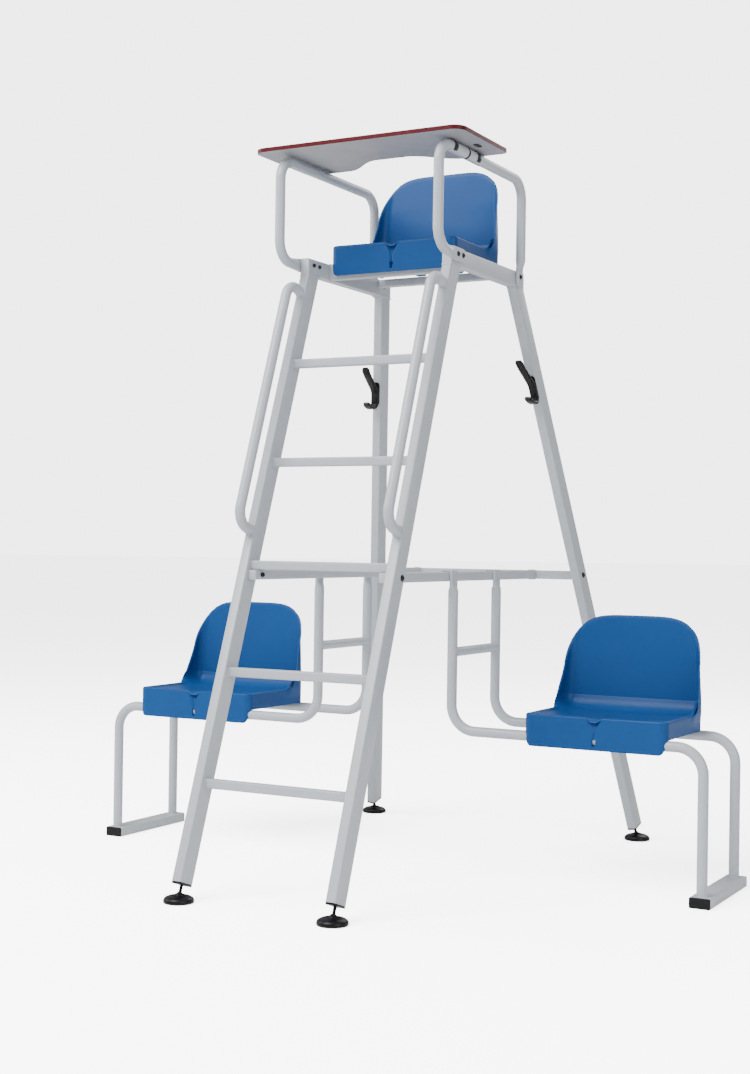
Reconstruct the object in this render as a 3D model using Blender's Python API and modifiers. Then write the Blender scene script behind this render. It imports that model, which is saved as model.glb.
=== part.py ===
"""Tennis umpire's chair: a ladder tower with a seat and a flip-up desk, and a lower seat hung on each side.

Metres, +Z up. The ladder is at the front, -Y, and +X is to the right as seen from the front. The origin is
on the floor under the middle of the object. Left and right are those of the front view.
"""

import math

import bmesh
import bpy
from mathutils import Matrix, Vector

# Clearances and tube walls
GAP = 0.0003
BOX_WALL = 0.002
ROUND_WALL = 0.0016
TUBE_RADIUS = 0.015
BEND_STEPS = 4

# Legs: rectangular tube, each with a centreline that is straight in y, and in x for the splayed rear pair
LEG_WIDTH = 0.030
LEG_DEPTH = 0.060
LEG_BOTTOM_Z = 0.055
FRONT_X = 0.240
FRONT_Y0 = -0.7914
FRONT_LEAN = 0.3577
REAR_X0 = 0.5016
REAR_SPLAY = -0.1467
REAR_Y0 = 0.7906
REAR_LEAN = -0.2675

# Rungs between the front legs
RUNG_COUNT = 5
RUNG_SIZE = 0.026
RUNG_FIRST_Z = 0.310
RUNG_PITCH = 0.300

# Rails that tie the front legs to the rear legs at half height
MID_Z = 0.8825
MID_HEIGHT = 0.028
MID_WIDTH = 0.025
MID_FRONT_Y = -0.493
MID_CROSS_Y = 0.5545
MID_BOLT_Y = -0.460
REAR_BOLT_Y = 0.5555

# Frame under the main seat
SEAT_RAIL_Z = (1.790, 1.840)
SEAT_RAIL_Y = (-0.182, 0.343)
SEAT_RAIL_WIDTH = 0.030
CROSS_DEPTH = 0.025
FRONT_CROSS_Y = -0.0455
REAR_CROSS_Y = 0.2695
REAR_CROSS_HEIGHT = 0.025

# Arms: round tube in upright planes, ends pressed flat and bolted to the seat rails
ARM_X = 0.2635
ARM_FRONT_Y = -0.2885
ARM_REAR_Y = 0.296
ARM_TOP_Z = 2.121
ARM_BEND = 0.060
ARM_TAIL_Z = 1.820
ARM_TAIL_Y = -0.100
ARM_TAIL_PRESS_Y = (-0.205, -0.186)
ARM_REAR_END_Z = 1.790
ARM_REAR_PRESS_Z = (1.868, 1.846)
ARM_BENDS_Z = 1.900
PRESS_MARGIN = 0.003
FLAT_THICKNESS = 0.009
FLAT_WIDTH = 0.041
FLAT_SPREAD = 1.9

# Handrails on the front legs
HANDRAIL_STANDOFF = 0.072
HANDRAIL_BEND = 0.047
HANDRAIL_RETURN_Z = (1.010, 1.732)

# Writing desk, which turns on the right arm's top rail
DESK_UNDERSIDE_Z = 2.140
DESK_THICKNESS = 0.012
DESK_X = 0.345
DESK_Y = (-0.318, 0.012)
DESK_CUT_Y = -0.081
DESK_CUT_FLAT = 0.050
DESK_CUT_END = 0.200
DESK_CORNERS = (0.038, 0.020)
BAND_THICKNESS = 0.0015
CLAMP_WALL = 0.0016
CLAMP_Y = {"front": (-0.2275, -0.123), "rear": (-0.113, -0.013)}
STRAP_Y = {"front": -0.210, "rear": -0.053}
STRAP_WIDTH = 0.022
STRAP_THICKNESS = 0.0015
STRAP_FOOT_X = 0.196

# Coat hooks on the rear legs: outlines run (distance in front of the leg, height)
HOOK_WIDTH = 0.024
HOOK_THICKNESS = 0.008
HOOK_Z = 1.480
HOOK_LINE = ((0.078, 0.076), (0.062, 0.056), (0.034, 0.030), (0.0105, 0.003), (0.0085, -0.022),
             (0.014, -0.044), (0.036, -0.054), (0.058, -0.050), (0.074, -0.036))
HOOK_PLATE = (-0.040, 0.035)
HOOK_PLATE_THICKNESS = 0.006
HOOK_PLATE_NARROWER = 0.96

# Levelling feet
PAD_RADIUS = 0.040
PAD_TOP_Z = 0.024
PAD_CENTRE_Z = 0.0095
PAD_PROFILE = ((0.0, PAD_TOP_Z), (0.011, PAD_TOP_Z), (0.013, 0.0205), (0.022, 0.0185), (0.033, 0.0145),
               (PAD_RADIUS, 0.0095), (0.0385, 0.0), (0.0, 0.0))
STEM_RADIUS = 0.006
STEM_TOP = 0.050
PLUG_FLANGE = 0.004
PLUG_DEPTH = 0.020

# Side seats
SIDE_INNER_X = 0.229
SIDE_OUTER_X = 0.991
SIDE_LEVEL_Z = 0.431
SIDE_BEND = 0.075
SIDE_TUBE_Y = {"front": -0.085, "rear": 0.2215}
NECK_Z = (0.838, 0.862)
NECK_TOP_Z = 0.8995
RAIL_HOOK_WIDTH = 0.034
RAIL_HOOK_DROP = 0.016
RAIL_HOOK_THICKNESS = 0.0018
BRACE_Z = 0.660
BRACE_RADIUS = 0.014
FOOT_RAIL_WIDTH = 0.060
FOOT_RAIL_HEIGHT = 0.030
FOOT_RAIL_Y = (-0.108, 0.253)
CAP_FLANGE = 0.004
CAP_DEPTH = 0.018

# Seat shell, one moulding used three times: heights above the apron's lower edge, depths behind its face
SHELL_HALF_WIDTH = 0.2125
SHELL_THICKNESS = 0.0035
SHELL_RIM_Z = 0.093
SHELL_SIDE_BOTTOM_Z = 0.0415
SHELL_DISH = 0.016
SHELL_REAR_Y = 0.335
SHELL_BACK_HEIGHT = 0.270
SHELL_TOP_LEAN = 0.024
SHELL_WING_Y = 0.222
SHELL_WING_SWEEP = 0.110
SHELL_SHOULDER_Z = 0.225
SHELL_CROWN = 0.137
SHELL_CROWN_POWER = 3.8
SHELL_PAN_ROWS = (0.0, 0.018, 0.20, 0.40, 0.60, 0.80, 1.0)
SHELL_COLUMNS = 8
SHELL_ROWS = 5
LUG_X = 0.066
LUG_SIZE = (0.030, 0.026)
LUGS = ((0.0255, 0.0850), (0.3265, 0.0915))
MAIN_SHELL_AT = (0.0, -0.0755, 1.800)
SIDE_SHELL_AT = (0.680, -0.1055, 0.405)

SIDES = {"left": -1, "right": 1}


def clear_scene():
    for obj in list(bpy.data.objects):
        bpy.data.objects.remove(obj, do_unlink=True)


def new_collection(name):
    found = bpy.data.collections.new(name)
    bpy.context.scene.collection.children.link(found)
    return found


def new_material(name, colour, roughness, metallic=0.0):
    found = bpy.data.materials.new(name)
    found.use_nodes = True
    shader = found.node_tree.nodes["Principled BSDF"]
    shader.inputs["Base Color"].default_value = (*colour, 1.0)
    shader.inputs["Roughness"].default_value = roughness
    shader.inputs["Metallic"].default_value = metallic
    found.diffuse_color = (*colour, 1.0)
    return found


clear_scene()
PARTS = new_collection("umpire_chair")
CUTTERS = new_collection("cutters")
GREY_COAT = new_material("grey_powder_coat", (0.62, 0.65, 0.68), 0.35)
BLUE_PLASTIC = new_material("blue_gloss_plastic", (0.030, 0.130, 0.400), 0.18)
BOARD_FACE = new_material("board_face", (0.58, 0.60, 0.62), 0.45)
RED_EDGE = new_material("red_edge_band", (0.36, 0.030, 0.035), 0.40)
BLACK_PLASTIC = new_material("black_plastic", (0.018, 0.018, 0.020), 0.45)
BLACK_STEEL = new_material("black_steel", (0.030, 0.030, 0.032), 0.38, 0.6)


def add_part(name, mesh, material, matrix=None):
    obj = bpy.data.objects.new(name, mesh)
    mesh.materials.clear()
    mesh.materials.append(material)
    obj.matrix_world = matrix or Matrix()
    PARTS.objects.link(obj)
    return obj


def add_cutter(name, mesh, matrix=None):
    obj = bpy.data.objects.new(name, mesh)
    obj.matrix_world = matrix or Matrix()
    obj.hide_render = True
    obj.display_type = "WIRE"
    CUTTERS.objects.link(obj)
    return obj


def smooth(mesh, degrees=35):
    mesh.shade_smooth()
    mesh.set_sharp_from_angle(angle=math.radians(degrees))


def to_mesh(work, name):
    mesh = bpy.data.meshes.new(name)
    work.to_mesh(mesh)
    work.free()
    return mesh


def block_mesh(name, size, centre=(0, 0, 0)):
    work = bmesh.new()
    bmesh.ops.create_cube(work, size=1)
    bmesh.ops.scale(work, vec=size, verts=work.verts)
    bmesh.ops.translate(work, vec=centre, verts=work.verts)
    return to_mesh(work, name)


def cylinder_mesh(name, radius, bottom, top, sides=16):
    work = bmesh.new()
    height = top - bottom
    bmesh.ops.create_cone(work, cap_ends=True, segments=sides, radius1=radius, radius2=radius, depth=height)
    bmesh.ops.translate(work, vec=(0, 0, (top + bottom) / 2), verts=work.verts)
    return to_mesh(work, name)


def axes_at(origin, along, side=(1, 0, 0)):
    """A matrix whose Z runs along the given direction and whose X is as near as it can be to side."""
    z_axis = Vector(along).normalized()
    x_axis = Vector(side) - Vector(side).project(z_axis)
    x_axis.normalize()
    y_axis = z_axis.cross(x_axis)
    return Matrix.Translation(origin) @ Matrix((x_axis, y_axis, z_axis)).transposed().to_4x4()


def boolean(obj, operand, operation="DIFFERENCE"):
    modifier = obj.modifiers.new(operation.title(), "BOOLEAN")
    modifier.operation = operation
    modifier.solver = "EXACT"
    modifier.object = operand
    return modifier


def hollow(obj, wall, even=True):
    modifier = obj.modifiers.new("Wall", "SOLIDIFY")
    modifier.thickness = wall
    modifier.offset = -1
    modifier.use_even_offset = even


def box_tube(name, start, end, width, depth, material, side=(1, 0, 0), corner=0.0028):
    """A hollow rectangular tube with open, square-cut ends; width lies along side."""
    start = Vector(start)
    end = Vector(end)
    length = (end - start).length
    work = bmesh.new()
    bmesh.ops.create_cube(work, size=1)
    caps = [face for face in work.faces if abs(face.normal.z) > 0.5]
    bmesh.ops.delete(work, geom=caps, context="FACES_ONLY")
    bmesh.ops.scale(work, vec=(width, depth, length), verts=work.verts)
    bmesh.ops.translate(work, vec=(0, 0, length / 2), verts=work.verts)
    corners = [edge for edge in work.edges if not edge.is_boundary]
    bmesh.ops.bevel(work, geom=corners, offset=corner, segments=2, profile=0.5, affect="EDGES")
    mesh = to_mesh(work, name)
    smooth(mesh, 50)
    obj = add_part(name, mesh, material, axes_at(start, end - start, side))
    hollow(obj, BOX_WALL)
    return obj


def rounded_path(corners, radius, steps=BEND_STEPS):
    """The corners joined by straight runs and, at each inner corner, an arc of the radius."""
    points = [Vector(corners[0])]
    for before, corner, after in zip(corners, corners[1:], corners[2:]):
        back = (Vector(before) - Vector(corner)).normalized()
        ahead = (Vector(after) - Vector(corner)).normalized()
        half = back.angle(ahead) / 2
        centre = Vector(corner) + (back + ahead).normalized() * radius / math.sin(half)
        first = Vector(corner) + back * radius / math.tan(half) - centre
        turn = math.pi - 2 * half
        axis = back.cross(first).normalized()
        for step in range(steps + 1):
            points.append(centre + Matrix.Rotation(turn * step / steps, 3, axis) @ first)
    points.append(Vector(corners[-1]))
    return points


def swept_mesh(name, points, radius, resolution=4):
    """An open-ended round tube surface along the points, as a mesh."""
    curve = bpy.data.curves.new(name, "CURVE")
    curve.dimensions = "3D"
    curve.bevel_depth = radius
    curve.bevel_resolution = resolution
    spline = curve.splines.new("POLY")
    spline.points.add(len(points) - 1)
    for spot, point in zip(spline.points, points):
        spot.co = (*point, 1)
    obj = bpy.data.objects.new(name, curve)
    CUTTERS.objects.link(obj)
    bpy.context.view_layer.update()
    graph = bpy.context.evaluated_depsgraph_get()
    mesh = bpy.data.meshes.new_from_object(obj.evaluated_get(graph))
    bpy.data.objects.remove(obj, do_unlink=True)
    bpy.data.curves.remove(curve)
    work = bmesh.new()
    work.from_mesh(mesh)
    bmesh.ops.remove_doubles(work, verts=work.verts, dist=1e-6)
    work.to_mesh(mesh)
    work.free()
    mesh.name = name
    return mesh


def round_tube(name, points, material, radius=TUBE_RADIUS, shape=None):
    """A hollow round tube; shape, if given, moves each point of its outer surface."""
    mesh = swept_mesh(name, points, radius)
    if shape:
        for vertex in mesh.vertices:
            vertex.co = shape(vertex.co.copy())
    smooth(mesh, 50)
    obj = add_part(name, mesh, material)
    hollow(obj, ROUND_WALL)
    return obj


def pressed(offset, half_flat, half_round=TUBE_RADIUS):
    """Where a point at this offset from a tube's middle plane goes when the tube is pressed flat."""
    share = min(1.0, FLAT_SPREAD * abs(offset) / half_round)
    return math.copysign(half_flat * share, offset)


def ramp(value, start, end):
    """0 at start, 1 at end, with a soft change between them."""
    share = min(1.0, max(0.0, (value - start) / (end - start)))
    return share * share * (3 - 2 * share)


def extruded(name, outline, depth_axis, middle, half_depth):
    """A solid from a flat outline of (u, z) points: u is y where depth_axis is x, and x where it is y."""
    work = bmesh.new()
    near = middle - half_depth
    verts = []
    for across, height in outline:
        place = (near, across, height) if depth_axis == "x" else (across, near, height)
        verts.append(work.verts.new(place))
    face = work.faces.new(verts)
    grown = bmesh.ops.extrude_face_region(work, geom=[face])
    moved = [item for item in grown["geom"] if isinstance(item, bmesh.types.BMVert)]
    shift = (2 * half_depth, 0, 0) if depth_axis == "x" else (0, 2 * half_depth, 0)
    bmesh.ops.translate(work, vec=shift, verts=moved)
    bmesh.ops.recalc_face_normals(work, faces=work.faces)
    return to_mesh(work, name)


def ribbon_outline(points, thickness):
    """The outline of a strip of this thickness whose middle runs through the points, given as (u, z)."""
    line = [Vector(point) for point in points]
    left = []
    right = []
    for index, point in enumerate(line):
        before = line[max(index - 1, 0)]
        after = line[min(index + 1, len(line) - 1)]
        along = (after - before).normalized()
        across = Vector((-along.y, along.x)) * thickness / 2
        left.append(point + across)
        right.append(point - across)
    return left + right[::-1]


def front_centre(height):
    return Vector((FRONT_X, FRONT_Y0 + FRONT_LEAN * height, height))


def rear_centre(height):
    return Vector((REAR_X0 + REAR_SPLAY * height, REAR_Y0 + REAR_LEAN * height, height))


def mirrored(point, sign):
    return Vector((point[0] * sign, point[1], point[2]))


def leg_axis(end, sign):
    """(point of the leg's axis at its lower end, direction up the leg)."""
    centre = front_centre if end == "front" else rear_centre
    bottom = mirrored(centre(LEG_BOTTOM_Z), sign)
    return bottom, (mirrored(centre(1.0), sign) - mirrored(centre(0.0), sign)).normalized()


def make_legs():
    height = 0.3
    block = block_mesh("above_legs", (1.2, 1.2, height), (0, 0, SEAT_RAIL_Z[0] - GAP + height / 2))
    over = add_cutter("above_legs", block)
    for end in ("front", "rear"):
        centre = front_centre if end == "front" else rear_centre
        for side, sign in SIDES.items():
            bottom, _ = leg_axis(end, sign)
            top = mirrored(centre(SEAT_RAIL_Z[0] + 0.05), sign)
            leg = box_tube(f"{end}_leg_{side}", bottom, top, LEG_WIDTH, LEG_DEPTH, GREY_COAT)
            boolean(leg, over)


def make_rungs():
    half = FRONT_X - LEG_WIDTH / 2 - GAP
    for index in range(RUNG_COUNT):
        height = RUNG_FIRST_Z + index * RUNG_PITCH
        middle = front_centre(height)
        start = (-half, middle.y, height)
        end = (half, middle.y, height)
        box_tube(f"rung_{index + 1}", start, end, RUNG_SIZE, RUNG_SIZE, GREY_COAT, (0, 0, 1))


def rear_inner_x(height):
    """How far out the inner face of a rear leg is at this height."""
    return rear_centre(height).x - LEG_WIDTH / 2 * math.hypot(1, REAR_SPLAY)


def make_mid_rails():
    rear_y = MID_CROSS_Y - MID_WIDTH / 2 - GAP
    for side, sign in SIDES.items():
        across = sign * (FRONT_X - LEG_WIDTH / 2 - GAP - MID_WIDTH / 2)
        start = (across, MID_FRONT_Y, MID_Z)
        box_tube(f"mid_rail_{side}", start, (across, rear_y, MID_Z), MID_WIDTH, MID_HEIGHT, GREY_COAT)
    half = rear_inner_x(MID_Z)
    rail = box_tube("mid_cross_rail", (-half, MID_CROSS_Y, MID_Z), (half, MID_CROSS_Y, MID_Z),
                    MID_HEIGHT, MID_WIDTH, GREY_COAT, (0, 0, 1))
    for vertex in rail.data.vertices:
        height = MID_Z + vertex.co.x
        reach = rear_inner_x(height) - 3 * GAP
        vertex.co.z = half + math.copysign(reach, vertex.co.z - half)


def bolt_profile(shank):
    """A bolt along -Z from a domed head that sits on z = 0."""
    return ((0.0, 0.0058), (0.0040, 0.0054), (0.0068, 0.0036), (0.0078, 0.0), (0.0040, 0.0), (0.0040, -shank),
            (0.0, -shank))


def turned(name, profile, material, matrix, steps=16):
    """A solid turned about Z from (radius, height) points that run down its outside."""
    work = bmesh.new()
    verts = [work.verts.new((radius, 0, height)) for radius, height in profile]
    for first, second in zip(verts, verts[1:]):
        work.edges.new((first, second))
    obj = add_part(name, to_mesh(work, name), material, matrix)
    modifier = obj.modifiers.new("Turn", "SCREW")
    modifier.steps = steps
    modifier.render_steps = steps
    modifier.use_merge_vertices = True
    modifier.merge_threshold = 0.00001
    modifier.use_smooth_shade = True


def make_bolts():
    """Bolts of the half-height rails, each through the leg beside it, with a clearance hole for each."""
    for side, sign in SIDES.items():
        _, up = leg_axis("rear", sign)
        leg_matrix = axes_at(mirrored(rear_centre(MID_Z), sign), up, (sign, 0, 0))
        outward = leg_matrix.to_3x3() @ Vector((1, 0, 0))
        back = leg_matrix.to_3x3() @ Vector((0, sign, 0))
        rear_spot = leg_matrix.translation + outward * (LEG_WIDTH / 2 + GAP)
        rear_spot += back * (REAR_BOLT_Y - MID_CROSS_Y)
        front_spot = Vector((sign * (FRONT_X + LEG_WIDTH / 2 + GAP), MID_BOLT_Y, MID_Z))
        places = (("mid_rail_bolt", (f"front_leg_{side}", f"mid_rail_{side}"), front_spot, (sign, 0, 0), 0.060),
                  ("cross_rail_bolt", (f"rear_leg_{side}",), rear_spot, outward, 0.044))
        for name, pierced, spot, axis, shank in places:
            matrix = axes_at(spot, axis, (0, 1, 0))
            turned(f"{name}_{side}", bolt_profile(shank), BLACK_STEEL, matrix)
            bore = cylinder_mesh(name, 0.0043, -shank - 0.01, 0.01)
            hole = add_cutter(f"{name}_hole_{side}", bore, matrix)
            for node in pierced:
                boolean(PARTS.objects[node], hole)


def make_seat_frame():
    middle_z = sum(SEAT_RAIL_Z) / 2
    height = SEAT_RAIL_Z[1] - SEAT_RAIL_Z[0]
    for side, sign in SIDES.items():
        start = (sign * FRONT_X, SEAT_RAIL_Y[0], middle_z)
        end = (sign * FRONT_X, SEAT_RAIL_Y[1], middle_z)
        box_tube(f"seat_rail_{side}", start, end, SEAT_RAIL_WIDTH, height, GREY_COAT)
    half = FRONT_X - SEAT_RAIL_WIDTH / 2 - GAP
    rear_z = SEAT_RAIL_Z[1] - REAR_CROSS_HEIGHT / 2
    for end, across, level, tall in (("front", FRONT_CROSS_Y, middle_z, height),
                                     ("rear", REAR_CROSS_Y, rear_z, REAR_CROSS_HEIGHT)):
        box_tube(f"seat_cross_{end}", (-half, across, level), (half, across, level), tall, CROSS_DEPTH,
                 GREY_COAT, (0, 0, 1))


def make_arms():
    flat_x = FRONT_X + SEAT_RAIL_WIDTH / 2 + GAP + FLAT_THICKNESS / 2
    widen = FLAT_WIDTH / 2 / TUBE_RADIUS
    tail_start, tail_end = ARM_TAIL_PRESS_Y
    rear_start, rear_end = ARM_REAR_PRESS_Z
    for side, sign in SIDES.items():
        corners = [(sign * ARM_X, ARM_TAIL_Y, ARM_TAIL_Z), (sign * ARM_X, ARM_FRONT_Y, ARM_TAIL_Z),
                   (sign * ARM_X, ARM_FRONT_Y, ARM_TOP_Z), (sign * ARM_X, ARM_REAR_Y, ARM_TOP_Z),
                   (sign * ARM_X, ARM_REAR_Y, ARM_REAR_END_Z)]
        points = rounded_path(corners, ARM_BEND)
        tail = [Vector((sign * ARM_X, spot, ARM_TAIL_Z)) for spot in (tail_end + PRESS_MARGIN, tail_start)]
        neck = [Vector((sign * ARM_X, ARM_REAR_Y, height))
                for height in (rear_start + PRESS_MARGIN, rear_end - PRESS_MARGIN)]
        points = points[:1] + tail + points[1:-1] + neck + points[-1:]

        def shape(spot, sign=sign):
            if spot.z > ARM_BENDS_Z:
                return spot
            rear = spot.y > 0
            share = ramp(spot.z, rear_start, rear_end) if rear else ramp(spot.y, tail_start, tail_end)
            across = sign * flat_x + pressed(spot.x - sign * ARM_X, FLAT_THICKNESS / 2)
            flat = Vector((across, spot.y, spot.z))
            if rear:
                flat.y = ARM_REAR_Y + (spot.y - ARM_REAR_Y) * widen
            else:
                flat.z = ARM_TAIL_Z + (spot.z - ARM_TAIL_Z) * widen
            return spot.lerp(flat, share)

        round_tube(f"arm_{side}", points, GREY_COAT, shape=shape)


def make_handrails():
    slope = math.hypot(1, FRONT_LEAN)
    outward = Vector((0, -1, FRONT_LEAN)) / slope
    for side, sign in SIDES.items():
        ends = []
        for height in HANDRAIL_RETURN_Z:
            face = mirrored(front_centre(height), sign) + Vector((0, -LEG_DEPTH / 2 * slope, 0))
            ends.append(face)
        low, high = ends
        corners = [low + outward * GAP, low + outward * HANDRAIL_STANDOFF, high + outward * HANDRAIL_STANDOFF,
                   high + outward * GAP]
        round_tube(f"handrail_{side}", rounded_path(corners, HANDRAIL_BEND), GREY_COAT)


def arc(centre, radius, start, end, steps):
    """Points on an arc in the plane, angles in degrees."""
    found = []
    for step in range(steps + 1):
        angle = math.radians(start + (end - start) * step / steps)
        found.append((centre[0] + radius * math.cos(angle), centre[1] + radius * math.sin(angle)))
    return found


def desk_outline():
    """The board's plan outline, anticlockwise: rounded corners and a body cut-out at the rear."""
    front_radius, rear_radius = DESK_CORNERS
    front, rear = DESK_Y
    right = arc((DESK_X - front_radius, front + front_radius), front_radius, -90, 0, 6)
    right += arc((DESK_X - rear_radius, rear - rear_radius), rear_radius, 0, 90, 4)
    steps = 10
    for step in range(steps + 1):
        share = step / steps
        across = DESK_CUT_END + (DESK_CUT_FLAT - DESK_CUT_END) * share
        right.append((across, rear + (DESK_CUT_Y - rear) * (1 - math.cos(math.pi * share)) / 2))
    left = [(-across, depth) for across, depth in reversed(right)]
    return right + left


def inset(outline, distance):
    """An anticlockwise outline moved inwards by the distance, square to each of its sides."""
    moved = []
    for index, point in enumerate(outline):
        corner = Vector(point)
        before = (corner - Vector(outline[index - 1])).normalized()
        after = (Vector(outline[(index + 1) % len(outline)]) - corner).normalized()
        inward = (Vector((-before.y, before.x)) + Vector((-after.y, after.x))).normalized()
        moved.append(corner + inward * distance / inward.dot(Vector((-before.y, before.x))))
    return moved


def prism(name, outline, bottom, top):
    work = bmesh.new()
    face = work.faces.new([work.verts.new((across, depth, bottom)) for across, depth in outline])
    grown = bmesh.ops.extrude_face_region(work, geom=[face])
    moved = [item for item in grown["geom"] if isinstance(item, bmesh.types.BMVert)]
    bmesh.ops.translate(work, vec=(0, 0, top - bottom), verts=moved)
    bmesh.ops.recalc_face_normals(work, faces=work.faces)
    return to_mesh(work, name)


def make_desk():
    top = DESK_UNDERSIDE_Z + DESK_THICKNESS
    board = prism("desk_board", inset(desk_outline(), BAND_THICKNESS + GAP), DESK_UNDERSIDE_Z, top)
    add_part("desk_board", board, BOARD_FACE)
    outline = desk_outline()
    work = bmesh.new()
    low = [work.verts.new((across, depth, DESK_UNDERSIDE_Z)) for across, depth in outline]
    high = [work.verts.new((across, depth, top)) for across, depth in outline]
    for index in range(len(outline)):
        after = (index + 1) % len(outline)
        work.faces.new((low[index], low[after], high[after], high[index]))
    band = add_part("desk_edge_band", to_mesh(work, "desk_edge_band"), RED_EDGE)
    hollow(band, BAND_THICKNESS)
    inner = TUBE_RADIUS + GAP
    outer = inner + CLAMP_WALL
    for end in ("front", "rear"):
        start, stop = CLAMP_Y[end]
        middle = Vector((ARM_X, (start + stop) / 2, ARM_TOP_Z))
        matrix = axes_at(middle, (0, 1, 0))
        half = (stop - start) / 2
        tube = cylinder_mesh(f"desk_clamp_{end}", outer, -half, half, 24)
        sleeve = add_part(f"desk_clamp_{end}", tube, GREY_COAT, matrix)
        bore = cylinder_mesh("bore", inner, -2 * half, 2 * half, 24)
        boolean(sleeve, add_cutter(f"desk_clamp_bore_{end}", bore, matrix))
        radius = DESK_UNDERSIDE_Z - GAP - STRAP_THICKNESS / 2 - ARM_TOP_Z
        line = [(STRAP_FOOT_X, ARM_TOP_Z + radius)] + arc((ARM_X, ARM_TOP_Z), radius, 90, -20, 8)
        strap = extruded(f"desk_strap_{end}", ribbon_outline(line, STRAP_THICKNESS), "y", STRAP_Y[end],
                         STRAP_WIDTH / 2)
        add_part(f"desk_strap_{end}", strap, BLACK_STEEL)


def make_hooks():
    """Strip hooks on a plate: made upright in front of the leg, then leaned and splayed with its front face."""
    low, high = HOOK_PLATE
    reach = LEG_DEPTH / 2 * math.hypot(1, REAR_LEAN) + 4 * GAP
    for side, sign in SIDES.items():
        outline = [(-depth, height) for depth, height in ribbon_outline(HOOK_LINE, HOOK_THICKNESS)]
        strip = extruded(f"hook_{side}", outline, "x", 0, HOOK_WIDTH / 2)
        plate_size = (HOOK_WIDTH * HOOK_PLATE_NARROWER, HOOK_PLATE_THICKNESS, high - low)
        plate = block_mesh("hook_plate", plate_size, (0, -HOOK_PLATE_THICKNESS / 2, (low + high) / 2))
        for mesh in (strip, plate):
            for vertex in mesh.vertices:
                vertex.co.x += REAR_SPLAY * sign * vertex.co.z
                vertex.co.y += REAR_LEAN * vertex.co.z
        matrix = Matrix.Translation(mirrored(rear_centre(HOOK_Z), sign) - Vector((0, reach, 0)))
        hook = add_part(f"hook_{side}", strip, BLACK_PLASTIC, matrix)
        boolean(hook, add_cutter(f"hook_plate_{side}", plate, matrix), "UNION")


def make_feet():
    for end in ("front", "rear"):
        for side, sign in SIDES.items():
            bottom, up = leg_axis(end, sign)
            pivot = bottom + up * ((PAD_CENTRE_Z - bottom.z) / up.z)
            pad_at = Matrix.Translation((pivot.x, pivot.y, 0))
            turned(f"foot_pad_{end}_{side}", PAD_PROFILE, BLACK_PLASTIC, pad_at, 24)
            matrix = axes_at(bottom, up)
            stem_mesh = cylinder_mesh("foot_stem", STEM_RADIUS, 0, STEM_TOP, 12)
            for vertex in stem_mesh.vertices:
                if vertex.co.z < STEM_TOP / 2:
                    foot = matrix @ vertex.co
                    vertex.co.z -= (foot.z - PAD_TOP_Z - GAP) / up.z
            smooth(stem_mesh)
            add_part(f"foot_stem_{end}_{side}", stem_mesh, BLACK_STEEL, matrix)
            plug = stepped_block("leg_plug", (LEG_WIDTH, LEG_DEPTH), PLUG_FLANGE, PLUG_DEPTH)
            obj = add_part(f"leg_plug_{end}_{side}", plug, BLACK_PLASTIC, matrix)
            bore = cylinder_mesh("bore", STEM_RADIUS + GAP, -0.03, 0.05, 12)
            boolean(obj, add_cutter(f"plug_bore_{end}_{side}", bore, matrix))


def stepped_block(name, size, flange, depth):
    """An end plug: a flange under z = -GAP the size of the tube, and an insert above it that fits inside."""
    work = bmesh.new()
    bmesh.ops.create_cube(work, size=1)
    bmesh.ops.scale(work, vec=(size[0], size[1], flange), verts=work.verts)
    bmesh.ops.translate(work, vec=(0, 0, -GAP - flange / 2), verts=work.verts)
    top = [face for face in work.faces if face.normal.z > 0.5]
    bmesh.ops.inset_region(work, faces=top, thickness=BOX_WALL + 0.0006, use_even_offset=True)
    grown = bmesh.ops.extrude_face_region(work, geom=top)
    moved = [item for item in grown["geom"] if isinstance(item, bmesh.types.BMVert)]
    bmesh.ops.translate(work, vec=(0, 0, depth), verts=moved)
    bmesh.ops.delete(work, geom=top, context="FACES")
    return to_mesh(work, name)


def back_rise(height):
    """0 at the pan's rim to 1 at the top of the back."""
    return min(1.0, max(0.0, (height - SHELL_RIM_Z) / SHELL_BACK_HEIGHT))


def back_depth(share, height):
    """How far back the backrest is at this share of the half width and this height: its edges wing forward."""
    rise = back_rise(height)
    middle = SHELL_REAR_Y + SHELL_TOP_LEAN * rise
    wing = SHELL_WING_Y + SHELL_WING_SWEEP * (1 - (1 - rise) ** 3)
    return middle - (middle - wing) * abs(share) ** 3


def crown_height(share):
    """Height of the back's upper edge: level across the middle, then down to the wings in a round shoulder."""
    return SHELL_SHOULDER_Z + SHELL_CROWN * math.sqrt(max(0.0, 1 - abs(share) ** SHELL_CROWN_POWER))


def pan_dish(share, depth):
    """How far the pan sinks below its rim at these shares of its half width and depth."""
    if depth == 1:
        return 0.0
    return SHELL_DISH * (1 - share ** 4) * math.sin(math.pi * depth) ** 0.7


def new_verts(grown):
    return [item for item in grown["geom"] if isinstance(item, bmesh.types.BMVert)]


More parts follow.
